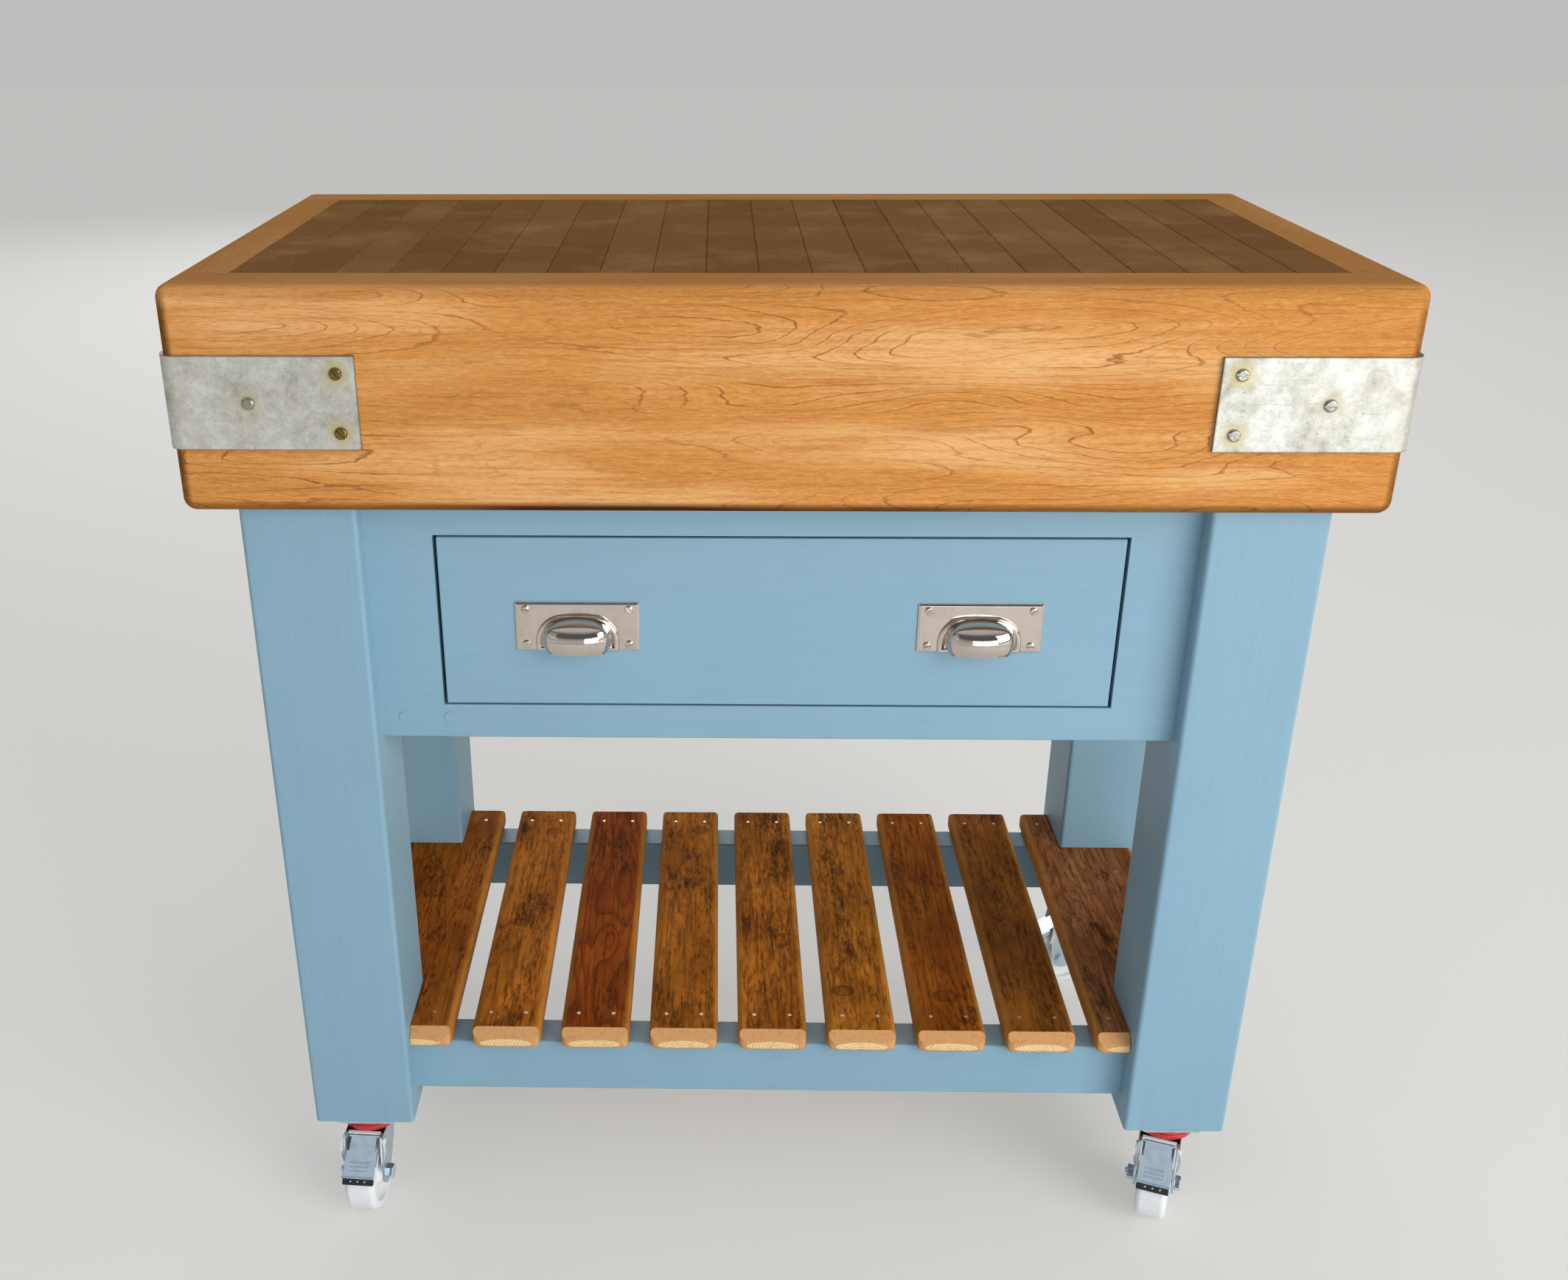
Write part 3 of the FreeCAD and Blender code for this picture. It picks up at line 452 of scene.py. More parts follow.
@dataclass(frozen=True)
class StainedPine:
    """Reclaimed pine, sanded, stained and waxed: brown grain, knots, black specks, pale rubbed edges.

    The grain runs along Y in the room, so X on the board is Y in the room, and Y on it is minus X.
    """

    name: str
    figure: Figure
    centre: float
    half_width: float
    pale: str
    deep: str
    line: str
    dirt: float
    ringed: float
    knots: Spots
    sawn: tuple[tuple[float, float], ...]
    # Rings round a larger centre are a growth island, with no knot in it.
    island: float = 12.0 * MM

    def make(self) -> bpy.types.Material:
        """Lay rings, fibres, mottling, specks, knots and saw marks over one slat.

        Returns:
            The material.
        """
        g = Graph(self.name)
        board, saw = self.figure.draw(g, self.knots)
        seed = self.figure.seed
        cloud = g.streaks(board, (9, 24, 24), 4.0, 0.6, (seed, 0, 0))
        wood = g.add("ValToRGB", {"Fac": cloud}, stops=((0.32, self.deep), (0.68, self.pale)))
        wood = g.stained(wood, saw, (0.45, 0.96), self.ringed, self.line)
        fibre = g.streaks(board, (16, 330, 330), 6.0, 0.75)
        wood = g.stained(wood, fibre, (0.48, 0.63), 0.72, self.line)
        # Weathered mottling, a centimetre long and a few millimetres wide, thicker in patches.
        patch = g.streaks(board, (10, 30, 30), 3.0, start=(seed * 3, 0, 0))
        mottle = g.streaks(board, (70, 260, 260), 6.0, 0.75)
        mottles = g.add("Math", {0: patch, 1: 0.45, 2: mottle}, operation="MULTIPLY_ADD")
        wood = g.stained(wood, mottles, (0.77 - 0.05 * self.dirt, 0.87), 0.75, "#321A06")
        # Black specks in the torn grain, drawn 2 mm wide so that they show.
        speck = g.streaks(board, (200, 420, 420), 4.0, 0.7)
        specks = g.add("Math", {0: patch, 1: 0.8, 2: speck}, operation="MULTIPLY_ADD")
        dirty = g.add("MapRange", {"Value": specks, "From Min": 1.1 - 0.05 * self.dirt, "From Max": 1.17,
                                   "To Min": 0.0, "To Max": 0.75})
        wood = g.add("Mix", {"Factor": dirty, "A": wood, "B": "#1A0D04"}, data_type="RGBA")
        wood = self.knotted(g, board, wood, mottle)
        along, across, _ = g.add("SeparateXYZ", {0: board}).outputs
        wood = self.saw_marked(g, along, wood, cloud, mottle)
        off = g.add("Math", {0: across, 1: self.centre}, operation="ADD")
        off = g.add("Math", {0: off}, operation="ABSOLUTE")
        rub = g.add("MapRange", {"Value": off, "From Min": self.half_width - 0.0065,
                                 "From Max": self.half_width - 0.0015, "To Min": 0.0, "To Max": 1.15})
        rubbed = g.add("Math", {0: rub, 1: cloud}, operation="MULTIPLY")
        wood = g.add("Mix", {"Factor": rubbed, "A": wood, "B": "#CE8F3F"}, data_type="RGBA")
        wood = self.cut_ends(g, wood)
        rough = g.add("MapRange", {"Value": speck, "To Min": 0.42, "To Max": 0.72})
        relief = g.add("Math", {0: fibre, 1: dirty}, operation="SUBTRACT")
        return g.done(wood, rough, relief, 0.3, 0.0005, IOR=1.48, Specular_IOR_Level=0.02)

    def knotted(self, g: Graph, board: Node, wood: Node, mottle: Node) -> Node:
        """Set the knots in the slat.

        Args:
            g: The material being made.
            board: The board's coordinates.
            wood: The colour so far.
            mottle: The noise that breaks a knot's outline.

        Returns:
            The colour with its knots.
        """
        for along_m, across_m, radius in self.knots:
            if radius > self.island:
                continue
            near = g.add("Mapping", {
                "Vector": board, "Location": (-0.8 * along_m / radius, -0.62 * across_m / radius, 0),
                "Scale": (0.8 / radius, 0.62 / radius, 0)})
            reach = g.add("VectorMath", {0: near}, operation="LENGTH").outputs["Value"]
            reach = g.add("Math", {0: mottle, 1: 0.75, 2: reach}, operation="MULTIPLY_ADD")
            reach = g.add("Math", {0: reach, 1: 0.2}, operation="SUBTRACT")
            heart = g.add("ValToRGB", {"Fac": reach}, stops=(
                (0.0, "#D0D0D0"), (0.22, "#7A7A7A"), (0.34, "#B4B4B4"), (0.46, "#8A8A8A"), (0.66, "#A4A4A4"),
                (0.76, "#D8D8D8"), (0.84, "#B0B0B0"), (1.0, "#000000")))
            wood = g.add("Mix", {"Factor": heart, "A": wood, "B": "#4A2008"}, data_type="RGBA")
        return wood

    def saw_marked(self, g: Graph, along: bpy.types.NodeSocket, wood: Node, cloud: Node,
                   mottle: Node) -> Node:
        """Draw bands of circular saw marks, 3 mm apart, left where the planer missed.

        Args:
            g: The material being made.
            along: The place along the board.
            wood: The colour so far.
            cloud: The noise that bends the marks.
            mottle: The noise that breaks them.

        Returns:
            The colour with its saw marks.
        """
        for middle, half in self.sawn:
            off = g.add("Math", {0: along, 1: middle}, operation="SUBTRACT")
            off = g.add("Math", {0: off}, operation="ABSOLUTE")
            within = g.add("MapRange", {"Value": off, "From Min": half, "From Max": half * 0.3,
                                        "To Min": 0.0, "To Max": 0.85})
            teeth = g.add("Math", {0: along, 1: 330.0, 2: cloud}, operation="MULTIPLY_ADD")
            teeth = g.add("ValToRGB", {"Fac": g.add("Math", {0: teeth}, operation="FRACT")}, stops=(
                (0.0, "#202020"), (0.45, "#383838"), (0.7, "#FFFFFF"), (1.0, "#202020")))
            marks = g.add("Math", {0: teeth, 1: within}, operation="MULTIPLY")
            broken = g.add("MapRange", {"Value": mottle, "From Min": 0.35, "From Max": 0.6})
            marks = g.add("Math", {0: marks, 1: broken}, operation="MULTIPLY")
            wood = g.add("Mix", {"Factor": marks, "A": wood, "B": "#1C0D03"}, data_type="RGBA")
        return wood

    def cut_ends(self, g: Graph, wood: Node) -> Node:
        """Show the wood that was cut after staining: a pinkish bevel over pale end grain.

        Args:
            g: The material being made.
            wood: The colour of the slat's faces.

        Returns:
            The colour with its cut ends.
        """
        where = g.add("TexCoord").outputs
        lean = g.add("SeparateXYZ", {0: where["Normal"]}).outputs["Y"]
        lean = g.add("Math", {0: lean}, operation="ABSOLUTE")
        rings = g.add("Mapping", {"Vector": where["Object"], "Scale": (1, 0, 1),
                                  "Location": (-self.centre, 0, -0.14 - 0.02 * (self.figure.seed % 3))})
        reach = g.add("VectorMath", {0: rings}, operation="LENGTH").outputs["Value"]
        grain = g.add("TexNoise", {"Vector": where["Object"], "Scale": 240.0, "Detail": 3.0})
        ring = g.add("Math", {0: reach, 1: 330.0, 2: grain}, operation="MULTIPLY_ADD")
        end = g.add("ValToRGB", {"Fac": g.add("Math", {0: ring}, operation="FRACT")}, stops=(
            (0.0, "#F4DAA9"), (0.6, "#EFCE98"), (0.9, "#D6A768"), (1.0, "#F1D5A2")))
        end = g.stained(end, grain, (0.52, 0.75), 0.4, "#B57C42")
        bevel = g.stained("#D5A06B", grain, (0.52, 0.75), 0.4, "#A86F42")
        # The bevel runs round all four arrises, so the end itself is left as an oval.
        wide, tall, middle_z = self.half_width - 0.0055, 0.0058, 0.1868
        oval = g.add("Mapping", {"Vector": where["Object"], "Scale": (1 / wide, 0, 1 / tall),
                                 "Location": (-self.centre / wide, 0, -middle_z / tall)})
        outside = g.add("VectorMath", {0: oval}, operation="LENGTH").outputs["Value"]
        rimmed = g.add("ValToRGB", {"Fac": outside}, stops=(
            (0.0, "#000000"), (0.9, "#000000"), (0.97, "#FFFFFF"), (1.0, "#FFFFFF")))
        end = g.add("Mix", {"Factor": rimmed, "A": end, "B": bevel}, data_type="RGBA")
        drawn = g.add("ValToRGB", {"Fac": outside}, stops=(
            (0.0, "#000000"), (0.86, "#000000"), (0.93, "#A0A0A0"), (0.99, "#000000")))
        end = g.add("Mix", {"Factor": drawn, "A": end, "B": "#7A4E28"}, data_type="RGBA")
        wood = g.stained(wood, lean, (0.5, 0.62), 1.0, bevel)
        return g.stained(wood, lean, (0.85, 0.95), 1.0, end)


@dataclass(frozen=True)
class BareSoftwood:
    """Spruce, planed and left bare, for the drawer's box and runners: straw with tan lines."""

    name: str
    figure: Figure

    def make(self) -> bpy.types.Material:
        """Draw tan late wood over straw.

        Returns:
            The material.
        """
        g = Graph(self.name)
        board, saw = self.figure.draw(g)
        wood = g.add("ValToRGB", {"Fac": saw}, stops=(
            (0.0, "#DDBF91"), (0.6, "#D5B27F"), (0.93, "#B88A54"), (1.0, "#DDBF91")))
        # Fibres, drawn 1.4 mm wide so that they show.
        fibre = g.streaks(board, (30, 700, 700), 3.0)
        wood = g.stained(wood, fibre, (0.5, 0.8), 0.4, "#A97C4B")
        rough = g.add("MapRange", {"Value": fibre, "To Min": 0.55, "To Max": 0.8})
        return g.done(wood, rough, fibre, 0.2, 0.0003)


@dataclass(frozen=True)
class GalvanisedSteel:
    """Hot-dip galvanised strip, handled and wiped with oil: cloudy grey with stains at its screws."""

    name: str
    middle_z: float
    stains: Spots
    stain_strength: tuple[float, ...]

    def make(self) -> bpy.types.Material:
        """Cloud the zinc, then add scuffs, stains, a dark edge line of dirt and painted shadow, and pits.

        Returns:
            The material.
        """
        g = Graph(self.name)
        place = g.add("TexCoord").outputs["Object"]
        # Clouds in the zinc are 26 mm across, and broken by 6 mm grains.
        cloud = g.add("TexNoise", {"Vector": place, "Scale": 38.0, "Detail": 8.0, "Roughness": 0.72,
                                   "Distortion": 0.3})
        grit = g.add("TexNoise", {"Vector": place, "Scale": 170.0, "Detail": 5.0, "Roughness": 0.75})
        mixed = g.add("Math", {0: grit, 1: 0.5, 2: cloud}, operation="MULTIPLY_ADD")
        mixed = g.add("Math", {0: mixed, 1: 0.075}, operation="SUBTRACT")
        metal = g.add("ValToRGB", {"Fac": mixed}, stops=(
            (0.48, "#A9A79B"), (0.6, "#BFBDB2"), (0.7, "#CBC9BF"), (0.85, "#DCDBD2")))
        # Scuffs from sliding pans, long and thin, leaning a little.
        leaning = g.add("Mapping", {"Vector": place, "Rotation": (0.0, 0.5, 0.5), "Scale": (20, 20, 420)})
        scuffs = g.add("TexNoise", {"Vector": leaning, "Scale": 1.0, "Detail": 2.0})
        metal = g.stained(metal, scuffs, (0.66, 0.76), 0.3, "#7D7B72")
        centred = g.add("VectorMath", {0: place, 1: (0, 0, self.middle_z)}, operation="SUBTRACT")
        folded = g.add("VectorMath", {0: centred}, operation="ABSOLUTE")
        for point, strength in zip(self.stains, self.stain_strength):
            reach = g.add("VectorMath", {0: folded, 1: point}, operation="DISTANCE").outputs["Value"]
            ragged = g.add("Math", {0: cloud, 1: 0.012, 2: reach}, operation="MULTIPLY_ADD")
            metal = g.stained(metal, ragged, (0.0125, 0.0195), 0.0, "#C6B98C", strength)
        # A thin dark line is painted along the strap's edges where it meets the wood: partly dirt, partly the
        # painted shadow of the edge.
        along, deep, up = g.add("SeparateXYZ", {0: folded}).outputs
        for off, inside, edge in ((up, 0.0359, 0.0367), (along, 0.3311, 0.3303), (deep, 0.0986, 0.0978)):
            metal = g.stained(metal, off, (inside, edge), 0.6, "#575044")
        # Pits, drawn 2.4 mm wide so that they show.
        pits = g.add("TexNoise", {"Vector": place, "Scale": 420.0, "Detail": 2.0})
        metal = g.stained(metal, pits, (0.66, 0.76), 0.5, "#5F5F58")
        rough = g.add("MapRange", {"Value": cloud, "From Min": 0.3, "From Max": 0.7,
                                   "To Min": 0.62, "To Max": 0.34})
        relief = g.add("Math", {0: cloud, 1: 2.0, 2: pits}, operation="MULTIPLY_ADD")
        return g.done(metal, rough, relief, 0.16, 0.0005, Metallic=0.55)


@dataclass(frozen=True)
class PlatedMetal:
    """Steel or brass with a plated or worn skin: a clear tone, faint wipe marks and small stains."""

    name: str
    colour: str
    stain: str
    smooth: float
    rough: float
    mark_mm: float
    stained: float
    dents: float = 0.03

    def make(self) -> bpy.types.Material:
        """Cloud the plating with its stain.

        Returns:
            The material.
        """
        g = Graph(self.name)
        place = g.add("TexCoord").outputs["Object"]
        cloud = g.add("TexNoise", {"Vector": place, "Scale": 1000 / self.mark_mm, "Detail": 4.0,
                                   "Roughness": 0.6})
        metal = g.stained(self.colour, cloud, (0.45, 0.75), self.stained, self.stain)
        rough = g.add("MapRange", {"Value": cloud, "From Min": 0.3, "From Max": 0.7,
                                   "To Min": self.smooth, "To Max": self.rough})
        return g.done(metal, rough, cloud, self.dents, 0.0002, Metallic=1.0)


@dataclass(frozen=True)
class MouldedPlastic:
    """Injection-moulded plastic: even colour with a fine skin and a few handling marks."""

    name: str
    colour: str
    marked: str
    smooth: float
    rough: float

    def make(self) -> bpy.types.Material:
        """Cloud the plastic with its handling marks.

        Returns:
            The material.
        """
        g = Graph(self.name)
        place = g.add("TexCoord").outputs["Object"]
        cloud = g.add("TexNoise", {"Vector": place, "Scale": 90.0, "Detail": 3.0})
        # The mould's fine skin, drawn 1.1 mm wide so that it shows.
        skin = g.add("TexNoise", {"Vector": place, "Scale": 900.0, "Detail": 1.0})
        body = g.stained(self.colour, cloud, (0.5, 0.8), 0.35, self.marked)
        rough = g.add("MapRange", {"Value": cloud, "To Min": self.smooth, "To Max": self.rough})
        return g.done(body, rough, skin, 0.06, 0.0002, IOR=1.5)


# ---------------------------------------------------------------- modelling
# Turns what stands upright to face the front.
TO_FRONT = Matrix.Rotation(math.pi / 2, 4, "X")


def select(thing: Thing | None = None) -> None:
    """Leave edit mode and select one piece only, or none.

    Args:
        thing: The piece.
    """
    if bpy.context.object and bpy.context.object.mode != "OBJECT":
        bpy.ops.object.mode_set(mode="OBJECT")
    bpy.ops.object.select_all(action="DESELECT")
    if thing:
        thing.select_set(True)
        bpy.context.view_layer.objects.active = thing


@contextmanager
def editing(thing: Thing, pick: Pick = Pick.FACE, test: Test | None = None) -> Iterator[None]:
    """Open a piece in edit mode with chosen parts of it selected.

    Args:
        thing: The piece.
        pick: Whether points, edges or faces are chosen.
        test: Takes a part's middle and its normal, or an edge's direction; without it all are chosen.

    Yields:
        Nothing; the piece is in edit mode inside.
    """
    select(thing)
    mesh = thing.data
    bpy.context.tool_settings.mesh_select_mode = tuple(pick is one for one in Pick)
    for kind in Pick:
        parts = getattr(mesh, kind.value)
        parts.foreach_set("select", [test is None] * len(parts))
    if test:
        points = mesh.vertices
        for part in getattr(mesh, pick.value):
            if pick is Pick.EDGE:
                start, end = (points[i].co for i in part.vertices)
                part.select = test((start + end) / 2, (end - start).normalized())
            else:
                part.select = test(part.co if pick is Pick.VERT else part.center, part.normal)
    bpy.ops.object.mode_set(mode="EDIT")
    try:
        yield
    finally:
        bpy.ops.object.mode_set(mode="OBJECT")


def begun(name: str) -> Thing:
    """Name the primitive just added and bring its place and size into its mesh.

    Args:
        name: The piece's name.

    Returns:
        The piece.
    """
    thing = bpy.context.object
    thing.name = thing.data.name = name
    bpy.ops.object.transform_apply(location=True, rotation=True, scale=True)
    return thing


def slab(name: str, low: Sequence[float], high: Sequence[float]) -> Thing:
    """Add a cuboid between two corners.

    Args:
        name: The piece's name.
        low: Its lowest corner, in metres.
        high: Its highest corner, in metres.

    Returns:
        The cuboid.
    """
    select()
    middle = (Vector(low) + Vector(high)) / 2
    bpy.ops.mesh.primitive_cube_add(size=1, location=middle, scale=Vector(high) - Vector(low))
    return begun(name)


def rod(name: str, radius: float, low: float, high: float, sides: int) -> Thing:
    """Add an upright round bar.

    Args:
        name: The piece's name.
        radius: Its radius, in metres.
        low: The height of its lower end.
        high: The height of its upper end.
        sides: How many sides stand for its curve.

    Returns:
        The bar.
    """
    select()
    bpy.ops.mesh.primitive_cylinder_add(vertices=sides, radius=radius, depth=high - low,
                                        location=(0, 0, (low + high) / 2))
    return begun(name)


def modify(thing: Thing, kind: str, **settings: Any) -> Thing:
    """Put a modifier on a piece and apply it.

    Args:
        thing: The piece.
        kind: The modifier's type.
        **settings: The modifier's settings.

    Returns:
        The piece.
    """
    select(thing)
    modifier = thing.modifiers.new(kind, kind)
    for key, value in settings.items():
        setattr(modifier, key, value)
    bpy.ops.object.modifier_apply(modifier=modifier.name)
    return thing


def softened(thing: Thing, width: float, segments: int = 2, angle: float = 35.0) -> Thing:
    """Round a piece's arrises.

    Args:
        thing: The piece.
        width: How far the rounding reaches, in metres.
        segments: The rounding's steps.
        angle: The least turn, in degrees, that is rounded.

    Returns:
        The piece, its flat faces shading flat.
    """
    modify(thing, "BEVEL", width=width, segments=segments, limit_method="ANGLE",
           angle_limit=math.radians(angle), use_clamp_overlap=True)
    return settled(thing, angle)


def settled(thing: Thing, angle: float = 35.0) -> Thing:
    """Merge a piece's doubles, turn its faces outwards and shade it.

    Args:
        thing: The piece.
        angle: The turn, in degrees, from which an edge looks crisp.

    Returns:
        The piece.
    """
    with editing(thing):
        bpy.ops.mesh.remove_doubles(threshold=2e-6)
        bpy.ops.mesh.normals_make_consistent(inside=False)
    select(thing)
    bpy.ops.object.shade_smooth_by_angle(angle=math.radians(angle))
    return modify(thing, "WEIGHTED_NORMAL", keep_sharp=True)


def copied(thing: Thing, name: str, move: Matrix | None = None) -> Thing:
    """Copy a piece with a mesh of its own.

    Args:
        thing: The piece to copy.
        name: The copy's name.
        move: Where the copy goes; left out, it stays in place.

    Returns:
        The copy.
    """
    twin = bpy.data.objects.new(name, thing.data.copy())
    twin.data.name = name
    bpy.context.collection.objects.link(twin)
    if move:
        twin.data.transform(move)
    return twin


def joined(name: str, things: Sequence[Thing]) -> Thing:
    """Join pieces into the first of them.

    Args:
        name: The name of the whole.
        things: The pieces.

    Returns:
        The whole.
    """
    select()
    for thing in things:
        thing.select_set(True)
    bpy.context.view_layer.objects.active = things[0]
    bpy.ops.object.join()
    things[0].name = things[0].data.name = name
    return things[0]


def scrapped(*things: Thing) -> None:
    """Throw away patterns that were only there to be copied."""
    for thing in things:
        bpy.data.objects.remove(thing)


def outline(side: float, line: str) -> Test:
    """Choose the edges that lie in a plane square to X, Y or Z.

    Args:
        side: Where the plane is, in metres.
        line: The axis that it is square to.

    Returns:
        The test.
    """
    return lambda middle, run: (abs(getattr(middle, line) - side) < 2e-5
                                and abs(getattr(run, line)) < 0.01)


def cut(thing: Thing, point: Sequence[float], normal: Sequence[float], fill: bool = True,
        keep: bool = False) -> None:
    """Cut a piece with a plane.

    Args:
        thing: The piece.
        point: A point of the plane.
        normal: The plane's normal; what lies on its side goes.
        fill: Whether the cut is closed.
        keep: Whether both sides stay, with edges along the cut.
    """
    with editing(thing):
        bpy.ops.mesh.bisect(plane_co=point, plane_no=normal, use_fill=fill and not keep,
                            clear_outer=not keep)


def carved(thing: Thing, *tools: Thing) -> None:
    """Cut other shapes out of a piece and throw them away.

    Args:
        thing: The piece.
        *tools: The shapes.
    """
    for tool in tools:
        modify(thing, "BOOLEAN", object=tool, operation="DIFFERENCE", solver="EXACT")
    scrapped(*tools)


def moved(thing: Thing, move: Matrix) -> Thing:
    """Move a piece's mesh.

    Args:
        thing: The piece.
        move: Where it goes.

    Returns:
        The piece.
    """
    thing.data.transform(move)
    thing.data.update()
    return thing


def domed_head(name: str, radius: float, height: float, slot: float = 0.0, depth: float = 0.0) -> Thing:
    """Model a domed screw or rivet head, its flat underside just below the ground.

    Args:
        name: The pattern's name.
        radius: The head's radius, in metres.
        height: The head's height.
        slot: The width of its straight slot; nought for a plain head.
        depth: The slot's depth.

    Returns:
        The head.
    """
    head = rod(name, radius, -0.4 * MM, height, 40)
    with editing(head, Pick.EDGE, outline(height, "z")):
        bpy.ops.mesh.bevel(offset=height * 0.95, offset_type="WIDTH", segments=8, profile=0.5)
    if slot:
        carved(head, slab("blade", (-radius * 2, -slot / 2, height - depth),
                          (radius * 2, slot / 2, height * 2)))
        modify(head, "BEVEL", width=radius * 0.03, segments=1, limit_method="ANGLE",
               angle_limit=math.radians(50))
    return settled(head, 40)


@dataclass
class Shop:
    """Keeps the frame, makes each finish once, and sets pieces on their bodies."""

    nodes: dict[str, Thing]
    made: dict[str, bpy.types.Material] = field(default_factory=dict)

    def finish(self, look: Any) -> bpy.types.Material:
        """Find a finish's material, made the first time it is asked for.

        Args:
            look: The finish.

        Returns:
            The material.
        """
        if look.name not in self.made:
            self.made[look.name] = look.make()
        return self.made[look.name]

    def coat(self, thing: Thing, *looks: Any) -> None:
        """Give a piece its finishes, the first of them all over.

        Args:
            thing: The piece.
            *looks: Its finishes, in the order of its material slots.
        """
        for i, look in enumerate(looks):
            if i < len(thing.data.materials):
                thing.data.materials[i] = self.finish(look)
            else:
                thing.data.materials.append(self.finish(look))

    def dress(self, node: str, look: Any) -> None:
        """Give a CAD node one finish all over.

        Args:
            node: The CAD node.
            look: The finish.
        """
        thing = self.nodes[node]
        for i in range(len(thing.data.materials)):
            thing.data.materials[i] = self.finish(look)
        LOG.info("dressed %s with %s", node, look.name)

    def hand_in(self, piece: Thing, body: str, slot: str, *looks: Any,
                stands_for: Sequence[str] = ()) -> None:
        """Hand a finished piece in.

        Args:
            piece: The piece.
            body: The body that it rides on.
            slot: The record's material slot; not used.
            *looks: Its finishes, in the order of its material slots; left out where it has them.
            stands_for: The CAD nodes that it replaces.
        """
        self.coat(piece, *looks)
        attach(piece, body)
        if stands_for:
            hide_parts(*stands_for)
        LOG.info("built %s on %s", piece.name, body)

    def refined(self, node: str, name: str, width: float) -> Thing:
        """Copy a CAD node's solid and round its arrises.

        Args:
            node: The CAD node.
            name: The new piece's name.
            width: How far the rounding reaches, in metres.

        Returns:
            The piece.
        """
        piece = copied(self.nodes[node], name)
        with editing(piece):
            bpy.ops.mesh.remove_doubles(threshold=1e-6)
            bpy.ops.mesh.dissolve_limited(angle_limit=math.radians(1.0))
        return softened(piece, width)


# ------------------------------------------------------------------- studio
@dataclass(frozen=True)
class SquareLamp:
    """A square lamp: its place, the point that it faces, its side in metres, its power and colour."""

    name: str
    place: tuple[float, float, float]
    aim: tuple[float, float, float]
    side: float
    watts: float
    colour: str

    def hang(self) -> None:
        """Hang the lamp."""
        light = bpy.data.lights.new(self.name, "AREA")
        light.size, light.energy, light.color = self.side, self.watts, linear(self.colour)[:3]
        lamp = bpy.data.objects.new(self.name, light)
        bpy.context.scene.collection.objects.link(lamp)
        lamp.location = self.place
        lamp.rotation_euler = (Vector(self.aim) - Vector(self.place)).to_track_quat("-Z", "Y").to_euler()


@dataclass
class Studio:
    """A pale floor under soft daylight that comes in low from the front, as through an open door."""

    floor_half: float = 14.0
    floor_colour: str = "#E4E3DF"
    glow_colour: str = "#B2B1AE"
    glow: float = 0.46
    # Pale at eye level, a dusky wall above it, and a bright roof: polished metal needs the dark between.
    sky: Stops = ((0.0, "#BEBEBC"), (0.1, "#B2B2B1"), (0.3, "#5E5F62"), (0.62, "#66676A"), (0.82, "#C4C5C9"),
                  (1.0, "#D4D4D8"))
    lamps: tuple[SquareLamp, ...] = (
        SquareLamp("open_door", (2.8, -2.7, 1.8), (0.0, 0.0, 0.5), 2.6, 110.0, "#FFFDF8"),
        SquareLamp("low_fill", (0.9, -3.3, 0.45), (0.1, 0.0, 0.1), 1.6, 27.0, "#EAF3FF"),
        SquareLamp("left_fill", (-3.6, -3.2, 2.2), (0.0, 0.0, 0.5), 3.0, 8.0, "#FFFFFF"),
        SquareLamp("back_fill", (-0.8, 5.2, 3.0), (0.0, 0.0, 0.5), 3.4, 95.0, "#FFFFFF"),
    )

    def build(self) -> None:
        """Lay the floor, set the sky and hang the lamps."""
        self.lay_floor()
        self.set_sky()
        for lamp in self.lamps:
            lamp.hang()

    def lay_floor(self) -> None:
        """Lay the floor, with a matt paint that glows a little where it is seen.

        The glow keeps the lamps' pools on it even and unclipped, and lights nothing: only camera,
        glossy and transmission rays meet it.
        """
        select()
        bpy.ops.mesh.primitive_plane_add(size=2 * self.floor_half, location=(0, 0, 0))
        floor = begun("floor")
        g = Graph("matt_floor_paint")
        place = g.add("TexCoord").outputs["Object"]
        cloud = g.add("TexNoise", {"Vector": place, "Scale": 1.3, "Detail": 2.0})
        pale = g.add("Mix", {"Factor": cloud, "A": self.floor_colour, "B": "#E8E7E3"}, data_type="RGBA")
        path = g.add("LightPath").outputs
        seen = g.add("Math", {0: path["Is Camera Ray"], 1: path["Is Glossy Ray"]}, operation="MAXIMUM")
        seen = g.add("Math", {0: seen, 1: path["Is Transmission Ray"]}, operation="MAXIMUM")
        pale = g.add("Mix", {"Factor": seen, "A": pale, "B": self.glow_colour}, data_type="RGBA")
        lift = g.add("Math", {0: seen, 1: self.glow}, operation="MULTIPLY")
        floor.data.materials.append(g.closed(g.add("BsdfPrincipled", {
            "Base Color": pale, "Roughness": 0.85, "Emission Color": self.floor_colour,
            "Emission Strength": lift})))

    def set_sky(self) -> None:
        """Set the sky, in bands by height."""
        world = bpy.data.worlds.new("pale_sky")
        bpy.context.scene.world = world
        world.use_nodes = True
        g = Graph.over(world.node_tree)
        height = g.add("SeparateXYZ", {0: g.add("TexCoord").outputs["Generated"]}).outputs["Z"]
        sky = g.add("ValToRGB", {"Fac": height}, stops=self.sky)
        g.add("OutputWorld", {"Surface": g.add("Background", {"Color": sky, "Strength": 1.0})})


